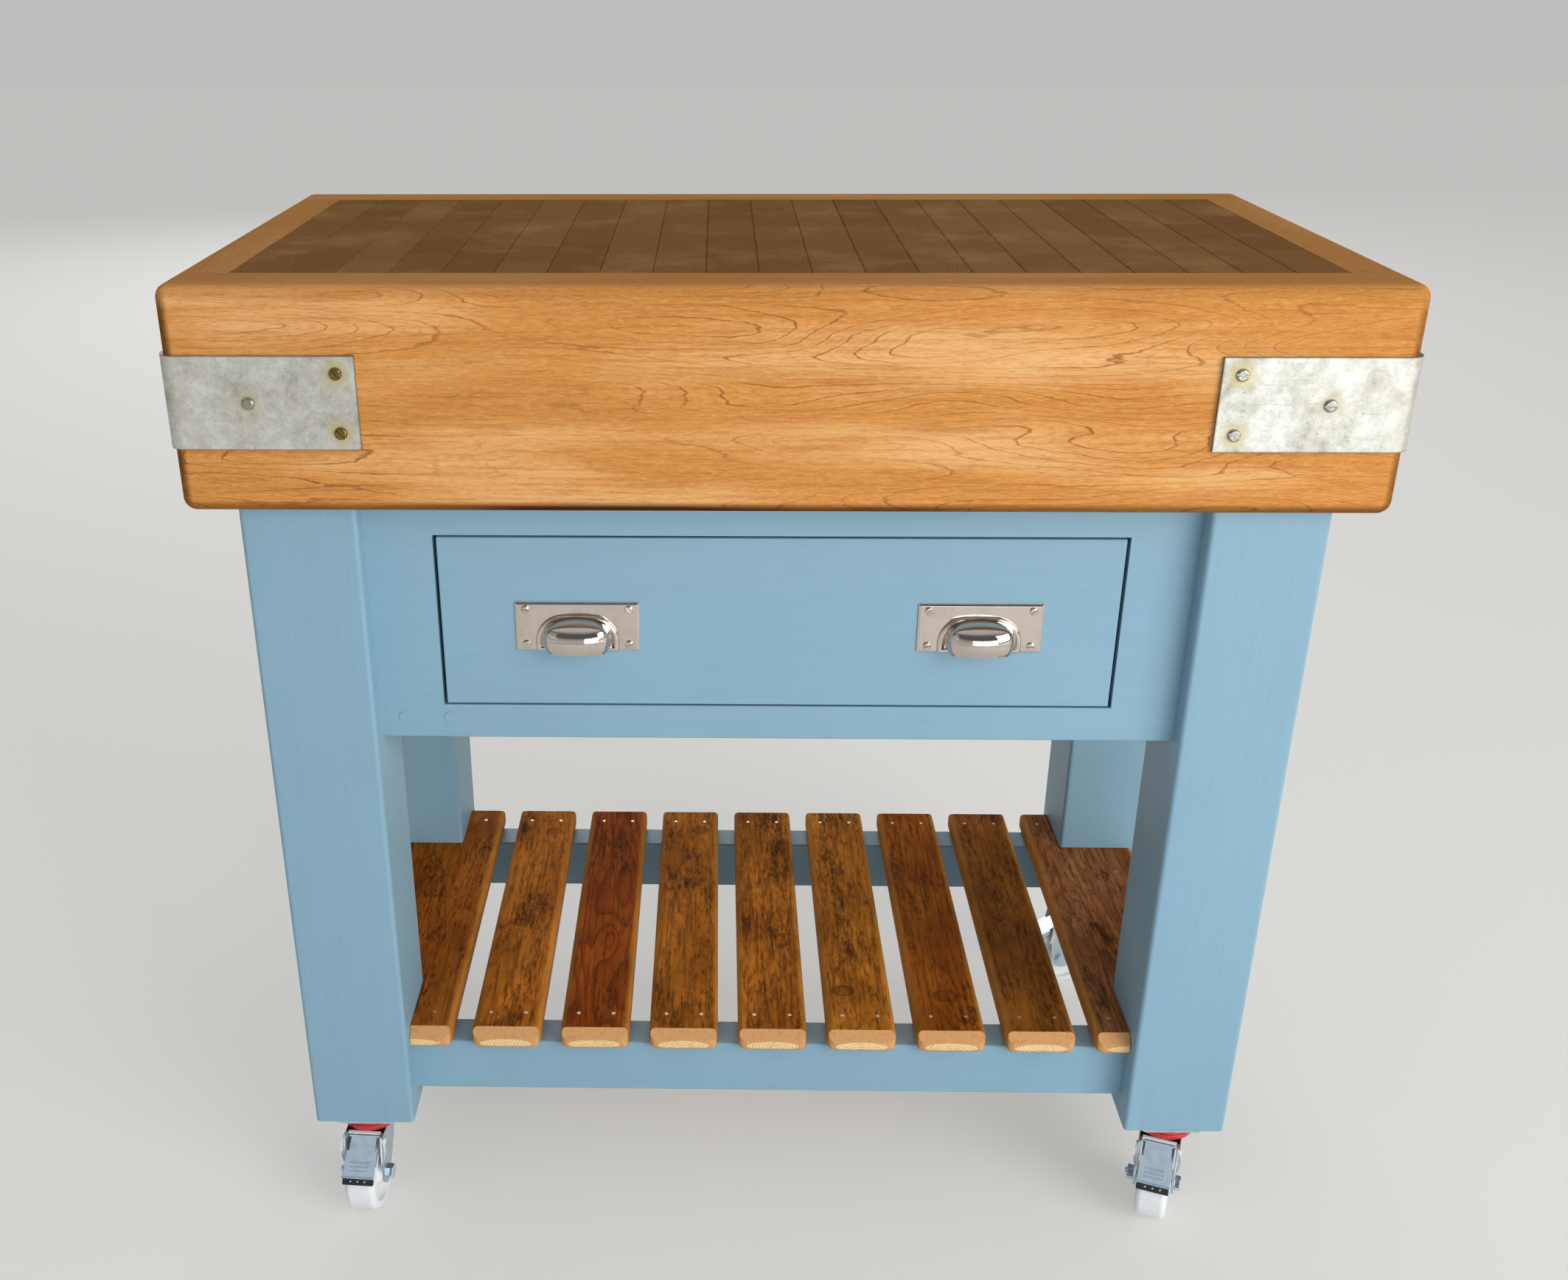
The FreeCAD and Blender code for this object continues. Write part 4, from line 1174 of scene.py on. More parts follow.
@dataclass
class PhotoCamera:
    """The photograph's camera, solved from the corners of the frame and the block."""

    place_mm: tuple[float, float, float] = (-53.08, -1424.53, 1140.06)
    yaw: float = -1.276
    pitch: float = -24.606
    roll: float = -0.226
    focal_mm: float = 35.824
    sensor_mm: float = 36.0
    shift: tuple[float, float] = (0.0641, 0.0172)

    def build(self) -> None:
        """Add the camera and make it the scene's."""
        yaw, pitch, roll = (math.radians(a) for a in (self.yaw, self.pitch, self.roll))
        ahead = Vector((math.sin(yaw) * math.cos(pitch), math.cos(yaw) * math.cos(pitch), math.sin(pitch)))
        right = Vector((math.cos(yaw), -math.sin(yaw), 0.0))
        up = right.cross(ahead)
        across = math.cos(roll) * right + math.sin(roll) * up
        upward = math.cos(roll) * up - math.sin(roll) * right
        lens = bpy.data.cameras.new("photo_camera")
        lens.lens, lens.sensor_width, lens.sensor_fit = self.focal_mm, self.sensor_mm, "HORIZONTAL"
        lens.shift_x, lens.shift_y = self.shift
        camera = bpy.data.objects.new("photo_camera", lens)
        bpy.context.scene.collection.objects.link(camera)
        turn = Matrix((across, upward, -ahead)).transposed().to_4x4()
        camera.matrix_world = Matrix.Translation(Vector(self.place_mm) * MM) @ turn
        bpy.context.scene.camera = camera


# ------------------------------------------------------------------- pieces
@dataclass
class ButchersBlock:
    """The block: end-grain pieces glued in staves, inside long-grain boards."""

    shop: Shop
    seed: int = 11
    stave_count: int = 21
    first_length: tuple[float, float] = (0.03, 0.1)
    piece_length: tuple[float, float] = (0.065, 0.118)
    least_length: float = 0.03
    pith_away: tuple[float, float] = (0.02, 0.13)
    stave_tone: tuple[float, float] = (0.3, 0.66)
    tone_spread: float = 0.2
    joint: float = 1.1 * MM

    def build(self) -> None:
        """Dress the boards and lay the end-grain pieces."""
        for side, along, seed, rings, length, breadth in (
                ("front", Along.WIDTH, 2.3, 20.0, 300, 46), ("back", Along.WIDTH, 7.9, 20.0, 300, 46),
                ("left", Along.DEPTH, 4.1, 18.0, 270, 44), ("right", Along.DEPTH, 9.4, 18.0, 280, 44)):
            figure = Figure(along, seed, rings, length, breadth, jag=0.32, run_per_m=88.0)
            self.shop.dress("block_board_" + side, OiledMaple("oiled_maple_" + side, figure))
        self.lay_core()

    def lay_core(self) -> None:
        """Lay the end-grain pieces, their joints staggered from stave to stave."""
        dice = random.Random(self.seed)
        low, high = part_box("end_grain_core")
        pattern = slab("piece", (-0.5, -0.5, low.z), (0.5, 0.5, high.z))
        width = (high.x - low.x) / self.stave_count
        pieces = []
        for stave in range(self.stave_count):
            middle_x = low.x + stave * width + width / 2
            base = dice.uniform(*self.stave_tone)
            cuts = [low.y]
            reach = low.y + dice.uniform(*self.first_length)
            while reach < high.y - self.least_length:
                cuts.append(reach)
                reach += dice.uniform(*self.piece_length)
            cuts.append(high.y)
            for near, far in zip(cuts, cuts[1:]):
                middle = Vector((middle_x, (near + far) / 2, 0))
                move = Matrix.Translation(middle) @ Matrix.Diagonal((width, far - near, 1, 1))
                turn = dice.uniform(0, math.tau)
                pith = middle + dice.uniform(*self.pith_away) * Vector((math.cos(turn), math.sin(turn), 0))
                tone = min(1.0, max(0.0, base + dice.uniform(-self.tone_spread, self.tone_spread)))
                pieces.append(self.marked(copied(pattern, "piece", move), pith, tone))
        scrapped(pattern)
        core = joined("end_grain_blocks", pieces)
        self.shop.coat(core, OiledEndGrain())
        with editing(core, Pick.EDGE, lambda middle, run: abs(middle.z - high.z) < 1e-5):
            bpy.ops.mesh.bevel(offset=self.joint, segments=1)
        self.shop.hand_in(core, "frame", "end_grain", stands_for=("end_grain_core",))

    @staticmethod
    def marked(piece: Thing, pith: Vector, tone: float) -> Thing:
        """Write where a piece's rings centre and how pale it is.

        Args:
            piece: One end-grain piece.
            pith: The centre of its rings, in metres.
            tone: How pale it is, from nought to one.

        Returns:
            The piece.
        """
        points = len(piece.data.vertices)
        centre = piece.data.attributes.new("pith", "FLOAT_VECTOR", "POINT")
        centre.data.foreach_set("vector", list(pith) * points)
        shade = piece.data.attributes.new("tone", "FLOAT", "POINT")
        shade.data.foreach_set("value", [tone] * points)
        return piece


@dataclass
class CornerStraps:
    """Galvanised straps folded round the block's corners, each arm held by three slotted screws."""

    shop: Shop
    screw_radius: float = 5.0 * MM
    screw_height: float = 2.6 * MM
    slot_width: float = 1.3 * MM
    slot_depth: float = 1.1 * MM
    face: tuple[float, float] = (483.0 * MM, 250.5 * MM)
    outer_inset: float = 68.0 * MM
    inner_inset: float = 138.0 * MM
    middle_z: float = 824.0 * MM
    rise: float = 23.5 * MM
    soft_edge: float = 0.5 * MM
    seed: int = 5

    def build(self) -> None:
        """Refine the straps and set their screws."""
        half_x, half_y = self.face
        stains = tuple(
            spot for inset, rise in ((self.outer_inset, 0.0), (self.inner_inset, self.rise))
            for spot in ((half_x - inset, half_y, rise), (half_x, half_y - inset, rise)))
        strip = GalvanisedSteel("galvanised_strip", self.middle_z, stains, (0.35, 0.35, 0.85, 0.85))
        straps = self.shop.refined("corner_straps", "straps_with_soft_edges", self.soft_edge)
        self.shop.hand_in(straps, "frame", "galvanised_strap", strip, stands_for=("corner_straps",))
        self.set_screws()

    def places(self, corner: Corner) -> Iterator[tuple[Vector, float]]:
        """Yield each screw's place and the heading of its face, about Z from the front.

        Args:
            corner: The strap's corner.

        Yields:
            The head's foot on the strap, and its heading in radians.
        """
        along, deep = corner.value
        half_x, half_y = self.face
        for inset, rise in ((self.outer_inset, 0.0), (self.inner_inset, self.rise),
                            (self.inner_inset, -self.rise)):
            height = self.middle_z + rise
            yield Vector((along * (half_x - inset), deep * half_y, height)), 0.0 if deep < 0 else math.pi
            yield Vector((along * half_x, deep * (half_y - inset), height)), along * math.pi / 2

    def set_screws(self) -> None:
        """Copy one screw to each hole, its slot turned at random."""
        dice = random.Random(self.seed)
        pattern = domed_head("screw", self.screw_radius, self.screw_height, self.slot_width, self.slot_depth)
        steel, brass = [], []
        for corner in Corner:
            for place, heading in self.places(corner):
                face = Matrix.Rotation(heading, 4, "Z") @ TO_FRONT
                spin = Matrix.Rotation(dice.uniform(0, math.pi), 4, "Z")
                end_pair = abs(place.z - self.middle_z) > MM
                lot = brass if corner.value[0] < 0 and end_pair else steel
                lot.append(copied(pattern, "screw", Matrix.Translation(place) @ face @ spin))
        scrapped(pattern)
        # The pairs at the ends of the left straps' arms are brassed, and worn brown.
        worn_brass = PlatedMetal("aged_brassed_screw", "#8C7443", "#3C2F1A", smooth=0.28, rough=0.5,
                                 mark_mm=2.0, stained=0.85)
        worn_steel = PlatedMetal("zinc_plated_screw", "#ABA79C", "#55524A", smooth=0.25, rough=0.45,
                                 mark_mm=2.0, stained=0.7)
        self.shop.hand_in(joined("strap_screws_brassed", brass), "frame", "strap_screw", worn_brass)
        self.shop.hand_in(joined("strap_screws_steel", steel), "frame", "strap_screw", worn_steel,
                          stands_for=("strap_screws",))


@dataclass
class PaintedFrame:
    """The painted pine frame: legs, aprons and bottom rails."""

    shop: Shop
    plug_radius: float = 5.0 * MM
    plug_rise: float = 0.7 * MM
    plug_x: tuple[float, float] = (-324.0 * MM, -284.0 * MM)
    plug_z: float = 534.0 * MM

    def build(self) -> None:
        """Give each member paint brushed along it."""
        members = [("leg_" + corner.label, Along.HEIGHT, 1.0 + i) for i, corner in enumerate(Corner)]
        members += [("front_apron", Along.WIDTH, 6.2), ("back_apron", Along.WIDTH, 7.3),
                    ("front_bottom_rail", Along.WIDTH, 8.4), ("back_bottom_rail", Along.WIDTH, 9.5),
                    ("left_apron", Along.DEPTH, 10.6), ("right_apron", Along.DEPTH, 11.7),
                    ("left_bottom_rail", Along.DEPTH, 12.8), ("right_bottom_rail", Along.DEPTH, 13.9)]
        paints = {node: BrushedPaint("brushed_paint_" + node, Figure(along, seed, 9.0, 430, 60, jag=0.15))
                  for node, along, seed in members}
        for node, paint in paints.items():
            self.shop.dress(node, paint)
        self.fill_holes(paints["front_apron"])

    def fill_holes(self, paint: BrushedPaint) -> None:
        """Raise the two filled screw holes that show through the apron's paint, low on its left.

        Args:
            paint: The apron's paint.
        """
        plug = domed_head("plug", self.plug_radius, self.plug_rise)
        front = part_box("front_apron")[0].y
        plugs = [copied(plug, "plug", Matrix.Translation((x, front, self.plug_z)) @ TO_FRONT)
                 for x in self.plug_x]
        scrapped(plug)
        self.shop.hand_in(joined("filled_holes", plugs), "frame", "painted_wood", paint)


@dataclass(frozen=True)
class Plank:
    """How one shelf slat looks: its browns, dirt, rings and knots (mm from its middle)."""

    pale: str
    deep: str
    line: str
    dirt: float
    ring_count: float
    breadth_mm: float
    seed: float
    ringed: float
    knots: Spots = ()
    sawn: tuple[tuple[float, float], ...] = ()


@dataclass
class Shelf:
    """Nine stained slats of reclaimed pine, nailed to the bottom rails."""

    shop: Shop
    figure_length_mm: float = 330.0
    planks: tuple[Plank, ...] = (
        Plank("#BE6E25", "#964F13", "#6A3A10", 0.6, 8, 42, 1.3, 0.45, ((-120, 10, 5),), ((150, 40),)),
        Plank("#E38629", "#A75C15", "#5A380F", 1.3, 7, 30, 2.6, 0.3, ((-29, -8, 8), (160, 12, 8))),
        Plank("#B65C17", "#8D3D0A", "#562506", 0.3, 15, 46, 3.1, 0.6, ((-60, 6, 22),)),
        Plank("#D78228", "#9E5914", "#57370F", 1.1, 7, 30, 4.7, 0.3, ((165, 12, 9),)),
        Plank("#EA8E2B", "#A25B15", "#48290A", 2.4, 9, 28, 5.2, 0.3),
        Plank("#DE8D31", "#A96216", "#623B10", 1.4, 8, 34, 6.8, 0.35, ((77, -4, 7), (-145, -14, 10))),
        Plank("#B5671A", "#8A480C", "#5E2E0B", 0.7, 10, 34, 7.4, 0.45, ((-152, 2, 11), (-70, -22, 4))),
        Plank("#A76526", "#7C4612", "#5B3A10", 1.3, 8, 30, 8.9, 0.3, ((-14, -9, 6),), ((-122, 40),)),
        Plank("#B5784D", "#88522E", "#5C3114", 0.6, 16, 44, 9.7, 0.5),
    )

    def build(self) -> None:
        """Dress the slats and the nails."""
        for number, plank in enumerate(self.planks, 1):
            node = f"shelf_slat_{number}"
            low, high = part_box(node)
            centre = (low.x + high.x) / 2
            figure = Figure(Along.DEPTH, plank.seed, plank.ring_count, self.figure_length_mm,
                            plank.breadth_mm)
            self.shop.dress(node, StainedPine(
                f"stained_pine_{number}", figure, centre, (high.x - low.x) / 2,
                pale=plank.pale, deep=plank.deep, line=plank.line, dirt=plank.dirt, ringed=plank.ringed,
                knots=tuple((y * MM, -centre - x * MM, radius * MM) for y, x, radius in plank.knots),
                sawn=tuple((y * MM, half * MM) for y, half in plank.sawn)))
        self.shop.dress("slat_nails", PlatedMetal("bright_nail", "#B5AA92", "#5C513D", smooth=0.25, rough=0.5,
                                                  mark_mm=1.5, stained=0.6))


@dataclass
class Drawer:
    """The drawer: a painted front on a box of bare softwood."""

    shop: Shop

    def build(self) -> None:
        """Dress the front, the box, the stop and the runners."""
        front = Figure(Along.WIDTH, 15.1, 10.0, 460, 64, jag=0.15)
        self.shop.dress("drawer_front", BrushedPaint("brushed_paint_drawer", front))
        along = BareSoftwood("bare_spruce_along", Figure(Along.DEPTH, 3.3, 8.0, 420, 46))
        across = BareSoftwood("bare_spruce_across", Figure(Along.WIDTH, 5.5, 8.0, 460, 46))
        for node in ("side_left", "side_right", "runner_left", "runner_right"):
            self.shop.dress("drawer_" + node, along)
        for node in ("back", "bottom", "stop"):
            self.shop.dress("drawer_" + node, across)


NICKEL = PlatedMetal("polished_nickel", "#D3C8BE", "#A0948A", smooth=0.04, rough=0.11, mark_mm=20.0,
                     stained=0.3, dents=0.9)
ZINC = PlatedMetal("bright_zinc", "#CBDDEA", "#98A8B5", smooth=0.14, rough=0.28, mark_mm=9.0, stained=0.35)
PRESSED_ZINC = PlatedMetal("pressed_zinc_steel", "#CBD8E0", "#97A3AC", smooth=0.3, rough=0.46, mark_mm=9.0,
                           stained=0.35)


@dataclass
class CupPulls:
    """Two cast nickel cup pulls on the drawer front, each held by four slotted screws.

    Each is modelled with its middle at the origin and its back on the plane Y = 0, facing -Y.
    """

    shop: Shop
    middle: tuple[float, float, float] = (170.0 * MM, -208.5 * MM, 620.75 * MM)
    seed: int = 8
    plate_half: tuple[float, float] = (52.5 * MM, 22.0 * MM)
    plate: float = 2.0 * MM
    plate_border: float = 1.7 * MM
    plate_slope: float = 1.0 * MM
    screw_at: tuple[float, float] = (43.75 * MM, 16.0 * MM)
    screw_radius: float = 3.5 * MM
    screw_height: float = 1.9 * MM
    slot_width: float = 0.9 * MM
    slot_depth: float = 0.8 * MM
    arch_half: float = 35.5 * MM
    arch_top: float = 11.0 * MM
    arch_depth: float = 5.0 * MM
    arch_shoulder: float = 23.5 * MM
    arch_roll: float = 2.6 * MM
    valley_rim: tuple[float, float] = (1.0 * MM, 2.4 * MM)
    valley_push: tuple[float, float, float] = (0.0, 1.9 * MM, -3.0 * MM)
    cup_half: float = 30.0 * MM
    cup_top: float = 10.2 * MM
    cup_waist: float = -8.0 * MM
    cup_foot: float = -18.5 * MM
    cup_back: float = -3.0 * MM
    cup_depth: float = 24.0 * MM
    cup_corner: float = 11.0 * MM
    ridge: float = -6.5 * MM
    wall: float = 1.8 * MM

    def build(self) -> None:
        """Model a pull, copy it to both places and set the screws."""
        dice = random.Random(self.seed)
        pattern = joined("pull", [self.model_plate(), self.model_arch(), self.model_cup()])
        screw = domed_head("screw", self.screw_radius, self.screw_height, self.slot_width, self.slot_depth)
        screws = []
        for side, sign in (("left", -1), ("right", 1)):
            place = Vector((sign * self.middle[0], self.middle[1], self.middle[2]))
            pull = copied(pattern, "pull_" + side, Matrix.Translation(place))
            self.shop.hand_in(pull, "drawer", "pull_nickel", NICKEL, stands_for=("cup_pull_" + side,))
            for along in (-1, 1):
                for up in (-1, 1):
                    spot = place + Vector((along * self.screw_at[0], -self.plate, up * self.screw_at[1]))
                    spin = Matrix.Rotation(dice.uniform(0, math.pi), 4, "Z")
                    screws.append(copied(screw, "screw", Matrix.Translation(spot) @ TO_FRONT @ spin))
        scrapped(pattern, screw)
        self.shop.hand_in(joined("pull_screws_slotted", screws), "drawer", "pull_nickel", NICKEL,
                          stands_for=("pull_screws",))

    def model_plate(self) -> Thing:
        """Model the back plate, its end edges sloped back.

        Returns:
            The plate.
        """
        half_x, half_z = self.plate_half
        plate = slab("plate", (-half_x, -self.plate, -half_z), (half_x, 0.0, half_z))
        with editing(plate, Pick.FACE, lambda middle, normal: normal.y < -0.9):
            bpy.ops.mesh.inset(thickness=self.plate_border)
        with editing(plate, Pick.VERT, lambda point, normal: (
                point.y < -1e-4 and abs(point.x) > half_x - 1e-5)):
            bpy.ops.transform.translate(value=(0, self.plate_slope, 0))
        return softened(plate, 0.2 * MM, 2, 18)

    def model_arch(self) -> Thing:
        """Model the raised arch that frames the cup, with a valley inside it.

        Returns:
            The arch.
        """
        arch = slab("arch", (-self.arch_half, -self.arch_depth, -self.plate_half[1]),
                    (self.arch_half, -1.0 * MM, self.arch_top))
        with editing(arch, Pick.EDGE, lambda middle, run: abs(run.y) > 0.9 and middle.z > 0):
            bpy.ops.mesh.bevel(offset=self.arch_shoulder, segments=14)
        with editing(arch, Pick.EDGE, outline(-self.arch_depth, "y")):
            bpy.ops.mesh.bevel(offset=self.arch_roll, segments=5)
        nearly = 0.1 * MM - self.arch_depth
        with editing(arch, Pick.FACE, lambda middle, normal: normal.y < -0.999 and middle.y < nearly):
            for rim in self.valley_rim:
                bpy.ops.mesh.inset(thickness=rim)
            bpy.ops.transform.translate(value=self.valley_push)
        return softened(arch, 0.3 * MM, 3, 22)

    def model_cup(self) -> Thing:
        """Model the cup: a pillow cut open below and behind, with a crisp ridge along its front.

        Returns:
            The cup.
        """
        reach, rise = self.cup_depth + self.cup_back, self.cup_top - self.cup_waist
        cup = slab("cup", (-self.cup_half, -self.cup_depth, self.cup_waist - rise),
                   (self.cup_half, self.cup_back + reach, self.cup_top))
        with editing(cup):
            bpy.ops.mesh.bevel(offset=self.cup_corner, segments=1)
        modify(cup, "SUBSURF", levels=4, render_levels=4)
        # Rounding has shrunk it, so it is drawn out to its full size again.
        low, high = (Vector(f(p.co[i] for p in cup.data.vertices) for i in range(3)) for f in (min, max))
        grow = Matrix.Diagonal((2 * self.cup_half / (high.x - low.x), 2 * reach / (high.y - low.y),
                                2 * rise / (high.z - low.z), 1))
        centre = Matrix.Translation((0, self.cup_back, self.cup_waist))
        moved(cup, centre @ grow @ centre.inverted())
        cut(cup, (0, self.cup_back, 0), (0, 1, 0), fill=False)
        cut(cup, (0, 0, self.cup_foot), (0, 0, -1), fill=False)
        cut(cup, (0, 0, self.ridge), (0, 0, 1), keep=True)
        # The ridge stands out, and the lip hangs a little lower in its middle.
        for level, half, front, push in (
                (self.ridge, 23.0 * MM, -10.0 * MM, (0, -0.35 * MM, 0.1 * MM)),
                (self.cup_foot, 26.0 * MM, -12.0 * MM, (0, 0, -0.5 * MM))):
            with editing(cup, Pick.VERT, lambda point, normal: (
                    abs(point.z - level) < 2e-5 and abs(point.x) < half and point.y < front)):
                bpy.ops.transform.translate(value=push)
        settled(cup, 60)
        modify(cup, "SOLIDIFY", thickness=self.wall, offset=-1.0)
        return settled(cup, 24)


@dataclass
class Castors:
    """Four braked swivel castors.

    Each part is modelled in its castor's own place: the king pin on the Z axis, trailing to -Y.
    """

    shop: Shop
    pin_x: float = 393.0 * MM
    pin_front: float = -196.5 * MM
    pin_back: float = 164.5 * MM
    headings: tuple[float, ...] = (-4.0, -20.0, 172.0, -90.0)
    axle: tuple[float, float, float] = (0.0, -28.0 * MM, 37.5 * MM)
    hinge: tuple[float, float, float] = (0.0, -34.0 * MM, 82.0 * MM)
    slope: float = math.radians(35)
    cheek: float = 19.5 * MM
    sheet: float = 1.8 * MM
    # The rim pressed out along each cheek's front.
    rim_radius: float = 30.0 * MM
    rim_half: float = 2.2 * MM
    rim_bulge: float = 2.6 * MM
    rim_root: float = 1.5 * MM
    rim_border: float = 1.1 * MM
    rim_dish: float = 2.6 * MM
    rim_place: tuple[float, float, float] = (0.0, -40.2 * MM, 72.5 * MM)
    rim_lean: float = math.radians(-6)
    # The lip over the pedal: its front and back, then its foot and top.
    lip_y: tuple[float, float] = (-31.5 * MM, 14.0 * MM)
    lip_z: tuple[float, float] = (84.7 * MM, 86.3 * MM)
    lip_corner: float = 4.0 * MM
    rivet_radius: float = 3.4 * MM
    rivet_height: float = 1.7 * MM
    rivet_at: tuple[float, float] = (-33.5 * MM, 79.0 * MM)
    seal_radius: float = 29.0 * MM
    seal_z: tuple[float, float] = (86.6 * MM, 92.0 * MM)
    seal_step: float = 2.2 * MM
    seal_rise: float = 5.0 * MM
    pedal_half: float = 15.5 * MM
    pedal_length: float = 38.0 * MM
    pedal_back: float = 3.2 * MM
    pedal_border: float = 1.4 * MM
    flange: float = 4.6 * MM
    notch_x: tuple[tuple[float, float], ...] = ((12.8 * MM, 19.0 * MM), (-19.0 * MM, -12.8 * MM))
    notch_y: tuple[float, float] = (-12.0 * MM, 1.2 * MM)
    notch_half_z: float = 9.0 * MM
    rib_y: tuple[float, ...] = (-23.5 * MM, -27.5 * MM, -31.5 * MM)
    rib_half: tuple[float, float] = (9.5 * MM, 0.7 * MM)
    rib_z: tuple[float, float] = (-0.6 * MM, 0.5 * MM)
    curl_radius: float = 1.25 * MM
    curl_half: float = 16.3 * MM
    curl_at: tuple[float, float] = (0.4 * MM, -0.9 * MM)
    tread_radius: float = 37.95 * MM
    shoe_radius: float = 42.4 * MM
    shoe_half: float = 15.2 * MM
    shoe_span: tuple[float, float] = (math.radians(21), math.radians(47))
    shoe_clearance: float = 0.8 * MM
    stud_radius: float = 1.0 * MM
    stud_height: float = 0.7 * MM
    stud_x: tuple[float, ...] = (-7.0 * MM, 0.0, 7.0 * MM)
    stud_lean: float = math.radians(26.5)
    nylon: MouldedPlastic = MouldedPlastic("white_nylon", "#F1F3F5", "#DCDFE0", 0.28, 0.45)
    seal: MouldedPlastic = MouldedPlastic("gloss_red_plastic", "#C4353A", "#9E2226", 0.12, 0.25)
    rubber: MouldedPlastic = MouldedPlastic("black_brake_rubber", "#17181A", "#2E2E2F", 0.35, 0.6)

    def build(self) -> None:
        """Refine the fixed parts, then model a fork, pedal and shoe and copy them to each corner."""
        for node, width in (("castor_plates", 0.6), ("castor_king_pins", 0.4), ("castor_screws", 0.4)):
            self.refine(node, "frame", width * MM)
        fork, pedal, shoe, seal = self.model_fork(), self.model_pedal(), self.model_shoe(), self.model_seal()
        seals = [copied(seal, "seal", self.place(corner)) for corner in Corner]
        self.shop.hand_in(joined("castor_dust_seals", seals), "frame", "seal_plastic", self.seal,
                          stands_for=("castor_seals",))
        for corner in Corner:
            at, place = corner.label, self.place(corner)
            self.refine("castor_axle_" + at, "castor_" + at, 0.5 * MM)
            self.shop.hand_in(copied(fork, "pressed_fork_" + at, place), "castor_" + at, "castor_zinc",
                              PRESSED_ZINC, stands_for=("castor_fork_" + at,))
            self.shop.hand_in(copied(pedal, "brake_pedal_" + at, place), "brake_" + at, "castor_zinc", ZINC,
                              stands_for=("castor_pedal_" + at,))
            self.shop.hand_in(copied(shoe, "brake_shoe_" + at, place), "brake_" + at, "seal_plastic")
            self.shop.dress("castor_wheel_" + at, self.nylon)
        scrapped(fork, pedal, shoe, seal)

    def refine(self, node: str, body: str, width: float) -> None:
        """Copy a CAD part with rounded arrises in zinc, set it on its body and hide the node.

        Args:
            node: The CAD node that it is copied from and replaces.
            body: The body that it rides on.
            width: How far the rounding reaches, in metres.
        """
        self.shop.hand_in(self.shop.refined(node, node + "_finished", width), body, "castor_zinc", ZINC,
                          stands_for=(node,))

    def place(self, corner: Corner) -> Matrix:
        """Find the move from a castor's own place to its corner.

        Args:
            corner: The castor's corner.

        Returns:
            The move.
        """
        along, deep = corner.value
        heading = math.radians(self.headings[list(Corner).index(corner)])
        pin = (along * self.pin_x, self.pin_front if deep < 0 else self.pin_back, 0.0)
        return Matrix.Translation(pin) @ Matrix.Rotation(heading, 4, "Z")

    def model_fork(self) -> Thing:
        """Model the fork: its pressed cheeks with flared rims, a lip over the pedal and hinge rivets.

        Returns:
            The fork.
        """
        fork = self.shop.refined("castor_fork_front_left", "fork", 0.5 * MM)
        moved(fork, self.place(Corner.FRONT_LEFT).inverted())
        rim = rod("flare", self.rim_radius, -self.rim_half, self.rim_half, 72)
        moved(rim, Matrix.Translation((self.cheek + self.rim_bulge - self.rim_radius, 0, 0)) @ TO_FRONT)
        cut(rim, (self.cheek - self.rim_root, 0, 0), (-1, 0, 0))
        with editing(rim, Pick.FACE, lambda middle, normal: normal.y < -0.9):
            bpy.ops.mesh.inset(thickness=self.rim_border)
            bpy.ops.transform.translate(value=(0, self.rim_dish, 0))
        softened(rim, 0.45 * MM, 3)
        moved(rim, Matrix.Translation(self.rim_place) @ Matrix.Rotation(self.rim_lean, 4, "X"))
        other = copied(rim, "flare", Matrix.Rotation(math.pi, 4, "Z") @ Matrix.Diagonal((1, -1, 1, 1)))
        lip = slab("top", (-self.cheek, self.lip_y[0], self.lip_z[0]),
                   (self.cheek, self.lip_y[1], self.lip_z[1]))
        with editing(lip, Pick.EDGE, lambda middle, run: abs(run.z) > 0.9):
            bpy.ops.mesh.bevel(offset=self.lip_corner, segments=6)
        softened(lip, 0.7 * MM, 3)
        rivet = domed_head("rivet", self.rivet_radius, self.rivet_height)
        rivets = [copied(rivet, "rivet", Matrix.Translation((sign * self.cheek, *self.rivet_at))
                         @ Matrix.Rotation(sign * math.pi / 2, 4, "Y")) for sign in (-1, 1)]
        scrapped(rivet)
        return settled(joined("fork", [fork, rim, other, lip, *rivets]))

    def model_seal(self) -> Thing:
        """Model the dust seal over the swivel's balls: a stepped skirt with rounded rims.

        Returns:
            The seal.
        """
        seal = rod("seal", self.seal_radius, *self.seal_z, 72)
        with editing(seal, Pick.FACE, lambda middle, normal: normal.z > 0.9):
            bpy.ops.mesh.inset(thickness=self.seal_step)
            bpy.ops.mesh.extrude_region_move(TRANSFORM_OT_translate={"value": (0, 0, self.seal_rise)})
        return softened(seal, 1.1 * MM, 4, 40)

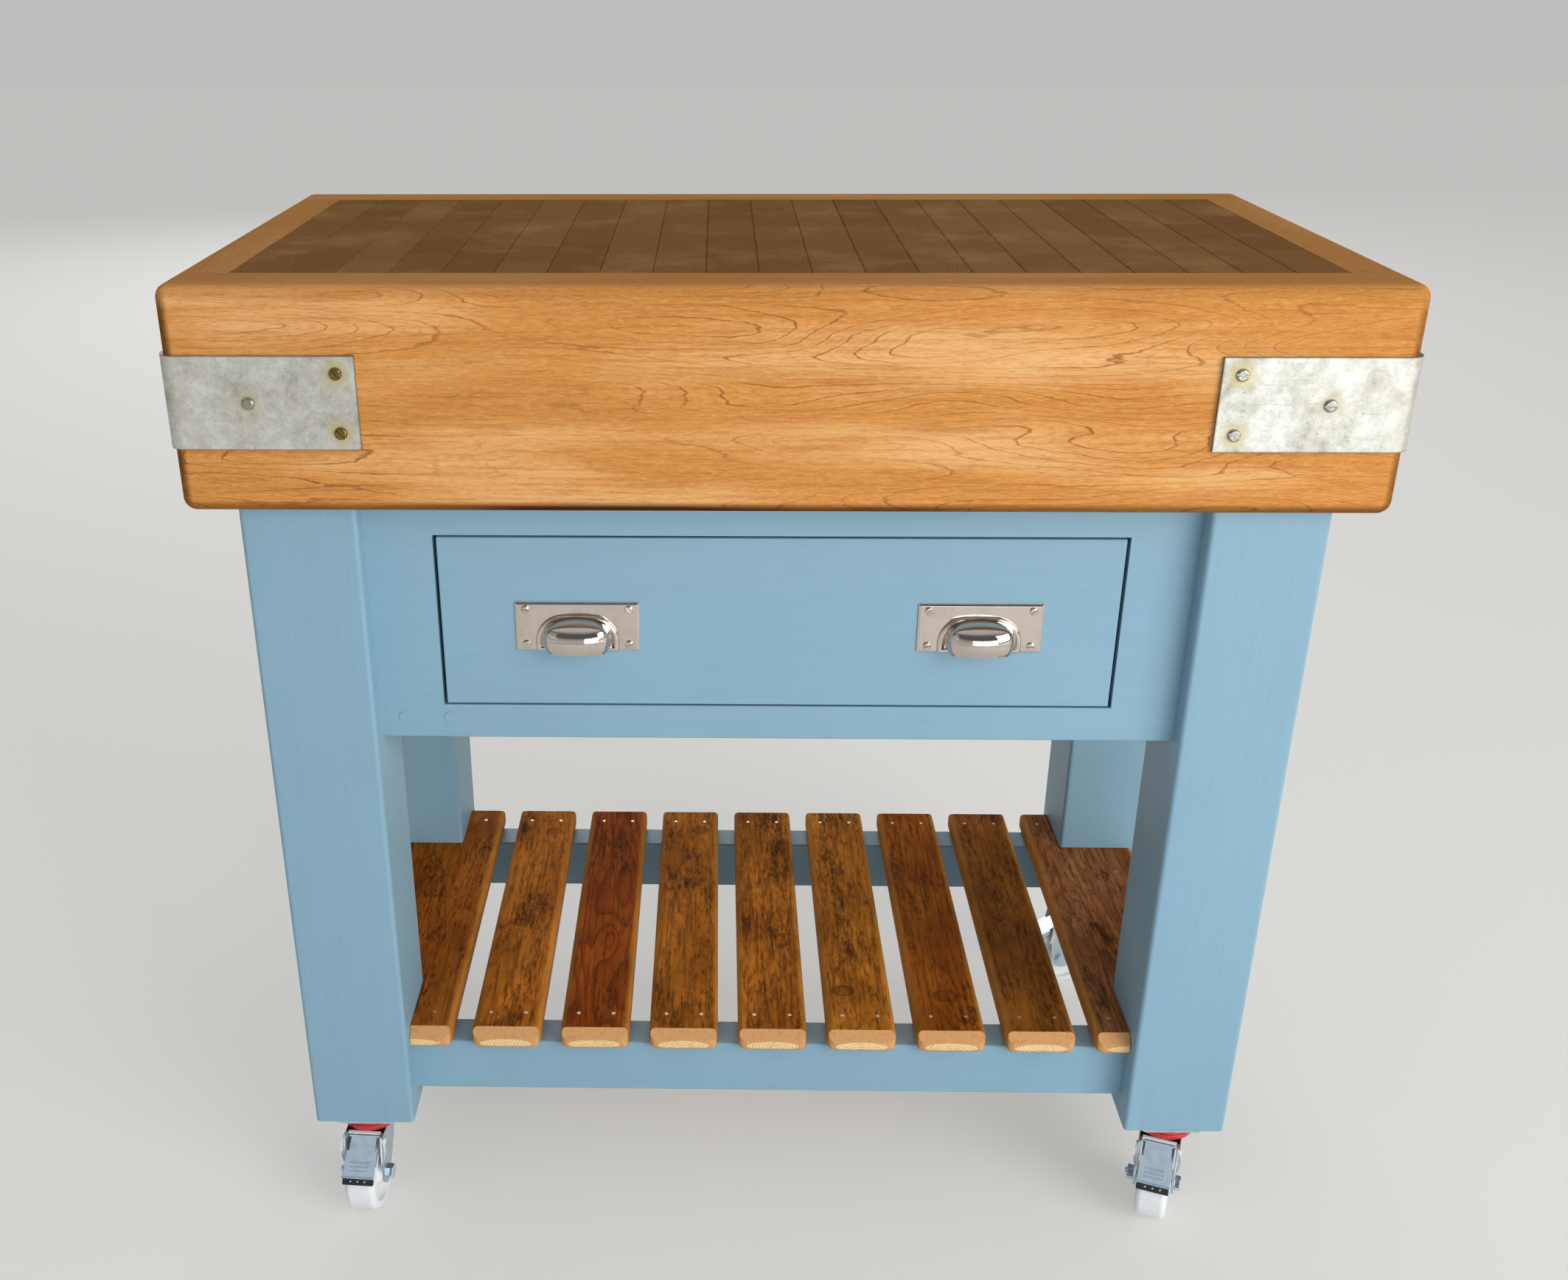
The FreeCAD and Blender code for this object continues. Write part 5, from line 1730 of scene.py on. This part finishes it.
    def model_pedal(self) -> Thing:
        """Model the pedal: a pressed tray with rounded folds, two slots by its hinge and three ribs.

        Returns:
            The pedal.
        """
        half, length = self.pedal_half, self.pedal_length
        pedal = slab("pedal", (-half, -length, -self.flange), (half, self.pedal_back, 0))
        with editing(pedal, Pick.FACE, lambda middle, normal: normal.z < -0.9):
            bpy.ops.mesh.inset(thickness=self.pedal_border)
            bpy.ops.transform.translate(value=(0, 0, self.flange - self.sheet))
        near, far = self.notch_y
        carved(pedal, *(slab("notch", (left, near, -self.notch_half_z), (right, far, self.notch_half_z))
                        for left, right in self.notch_x))
        softened(pedal, 0.9 * MM, 3, 40)
        rib_x, rib_breadth = self.rib_half
        ribs = []
        for y in self.rib_y:
            rib = slab("rib", (-rib_x, y - rib_breadth, self.rib_z[0]),
                       (rib_x, y + rib_breadth, self.rib_z[1]))
            ribs.append(softened(rib, 0.45 * MM, 3))
        curl = rod("curl", self.curl_radius, -self.curl_half, self.curl_half, 24)
        modify(curl, "BEVEL", width=0.8 * MM, segments=3, limit_method="ANGLE", angle_limit=math.radians(50))
        ahead, up = self.curl_at
        across = Matrix.Rotation(math.pi / 2, 4, "Y")
        moved(settled(curl), Matrix.Translation((0, ahead - length, up)) @ across)
        pedal = joined("pedal", [pedal, curl, *ribs])
        return moved(pedal, Matrix.Translation(self.hinge) @ Matrix.Rotation(self.slope, 4, "X"))

    def model_shoe(self) -> Thing:
        """Model the brake shoe: a studded rubber block curved to the tread, under the pedal's tip.

        Returns:
            The shoe, in its own two finishes.
        """
        shoe = rod("shoe", self.shoe_radius, -self.shoe_half, self.shoe_half, 96)
        carved(shoe, rod("bore", self.tread_radius, -0.02, 0.02, 96))
        moved(shoe, Matrix.Translation(self.axle) @ Matrix.Rotation(math.pi / 2, 4, "Y"))
        low, high = self.shoe_span
        cut(shoe, self.axle, (0, -math.sin(low), -math.cos(low)))
        cut(shoe, self.axle, (0, math.sin(high), math.cos(high)))
        up = Vector((0, -math.sin(self.slope), math.cos(self.slope)))
        cut(shoe, Vector(self.hinge) - self.shoe_clearance * up, up)
        softened(shoe, 0.9 * MM, 3, 30)
        stud = domed_head("stud", self.stud_radius, self.stud_height)
        self.shop.coat(stud, ZINC)
        self.shop.coat(shoe, self.rubber)
        out = Vector((0, -math.cos(self.stud_lean), math.sin(self.stud_lean)))
        turn = out.to_track_quat("Z", "X").to_matrix().to_4x4()
        foot = Vector(self.axle) + out * (self.shoe_radius - 0.1 * MM)
        studs = [copied(stud, "stud", Matrix.Translation(foot + Vector((x, 0, 0))) @ turn)
                 for x in self.stud_x]
        scrapped(stud)
        return joined("shoe", [shoe, *studs])


def main() -> None:
    """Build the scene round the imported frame."""
    logging.basicConfig(level=logging.INFO, format="%(name)s: %(message)s")
    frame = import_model()
    bpy.context.scene.view_settings.view_transform = "Standard"
    PhotoCamera().build()
    Studio().build()
    shop = Shop(frame["nodes"])
    for part in (ButchersBlock, CornerStraps, PaintedFrame, Shelf, Drawer, CupPulls, Castors):
        part(shop).build()
        LOG.info("%s done", part.__name__)
    select()


if __name__ == "__main__":
    main()
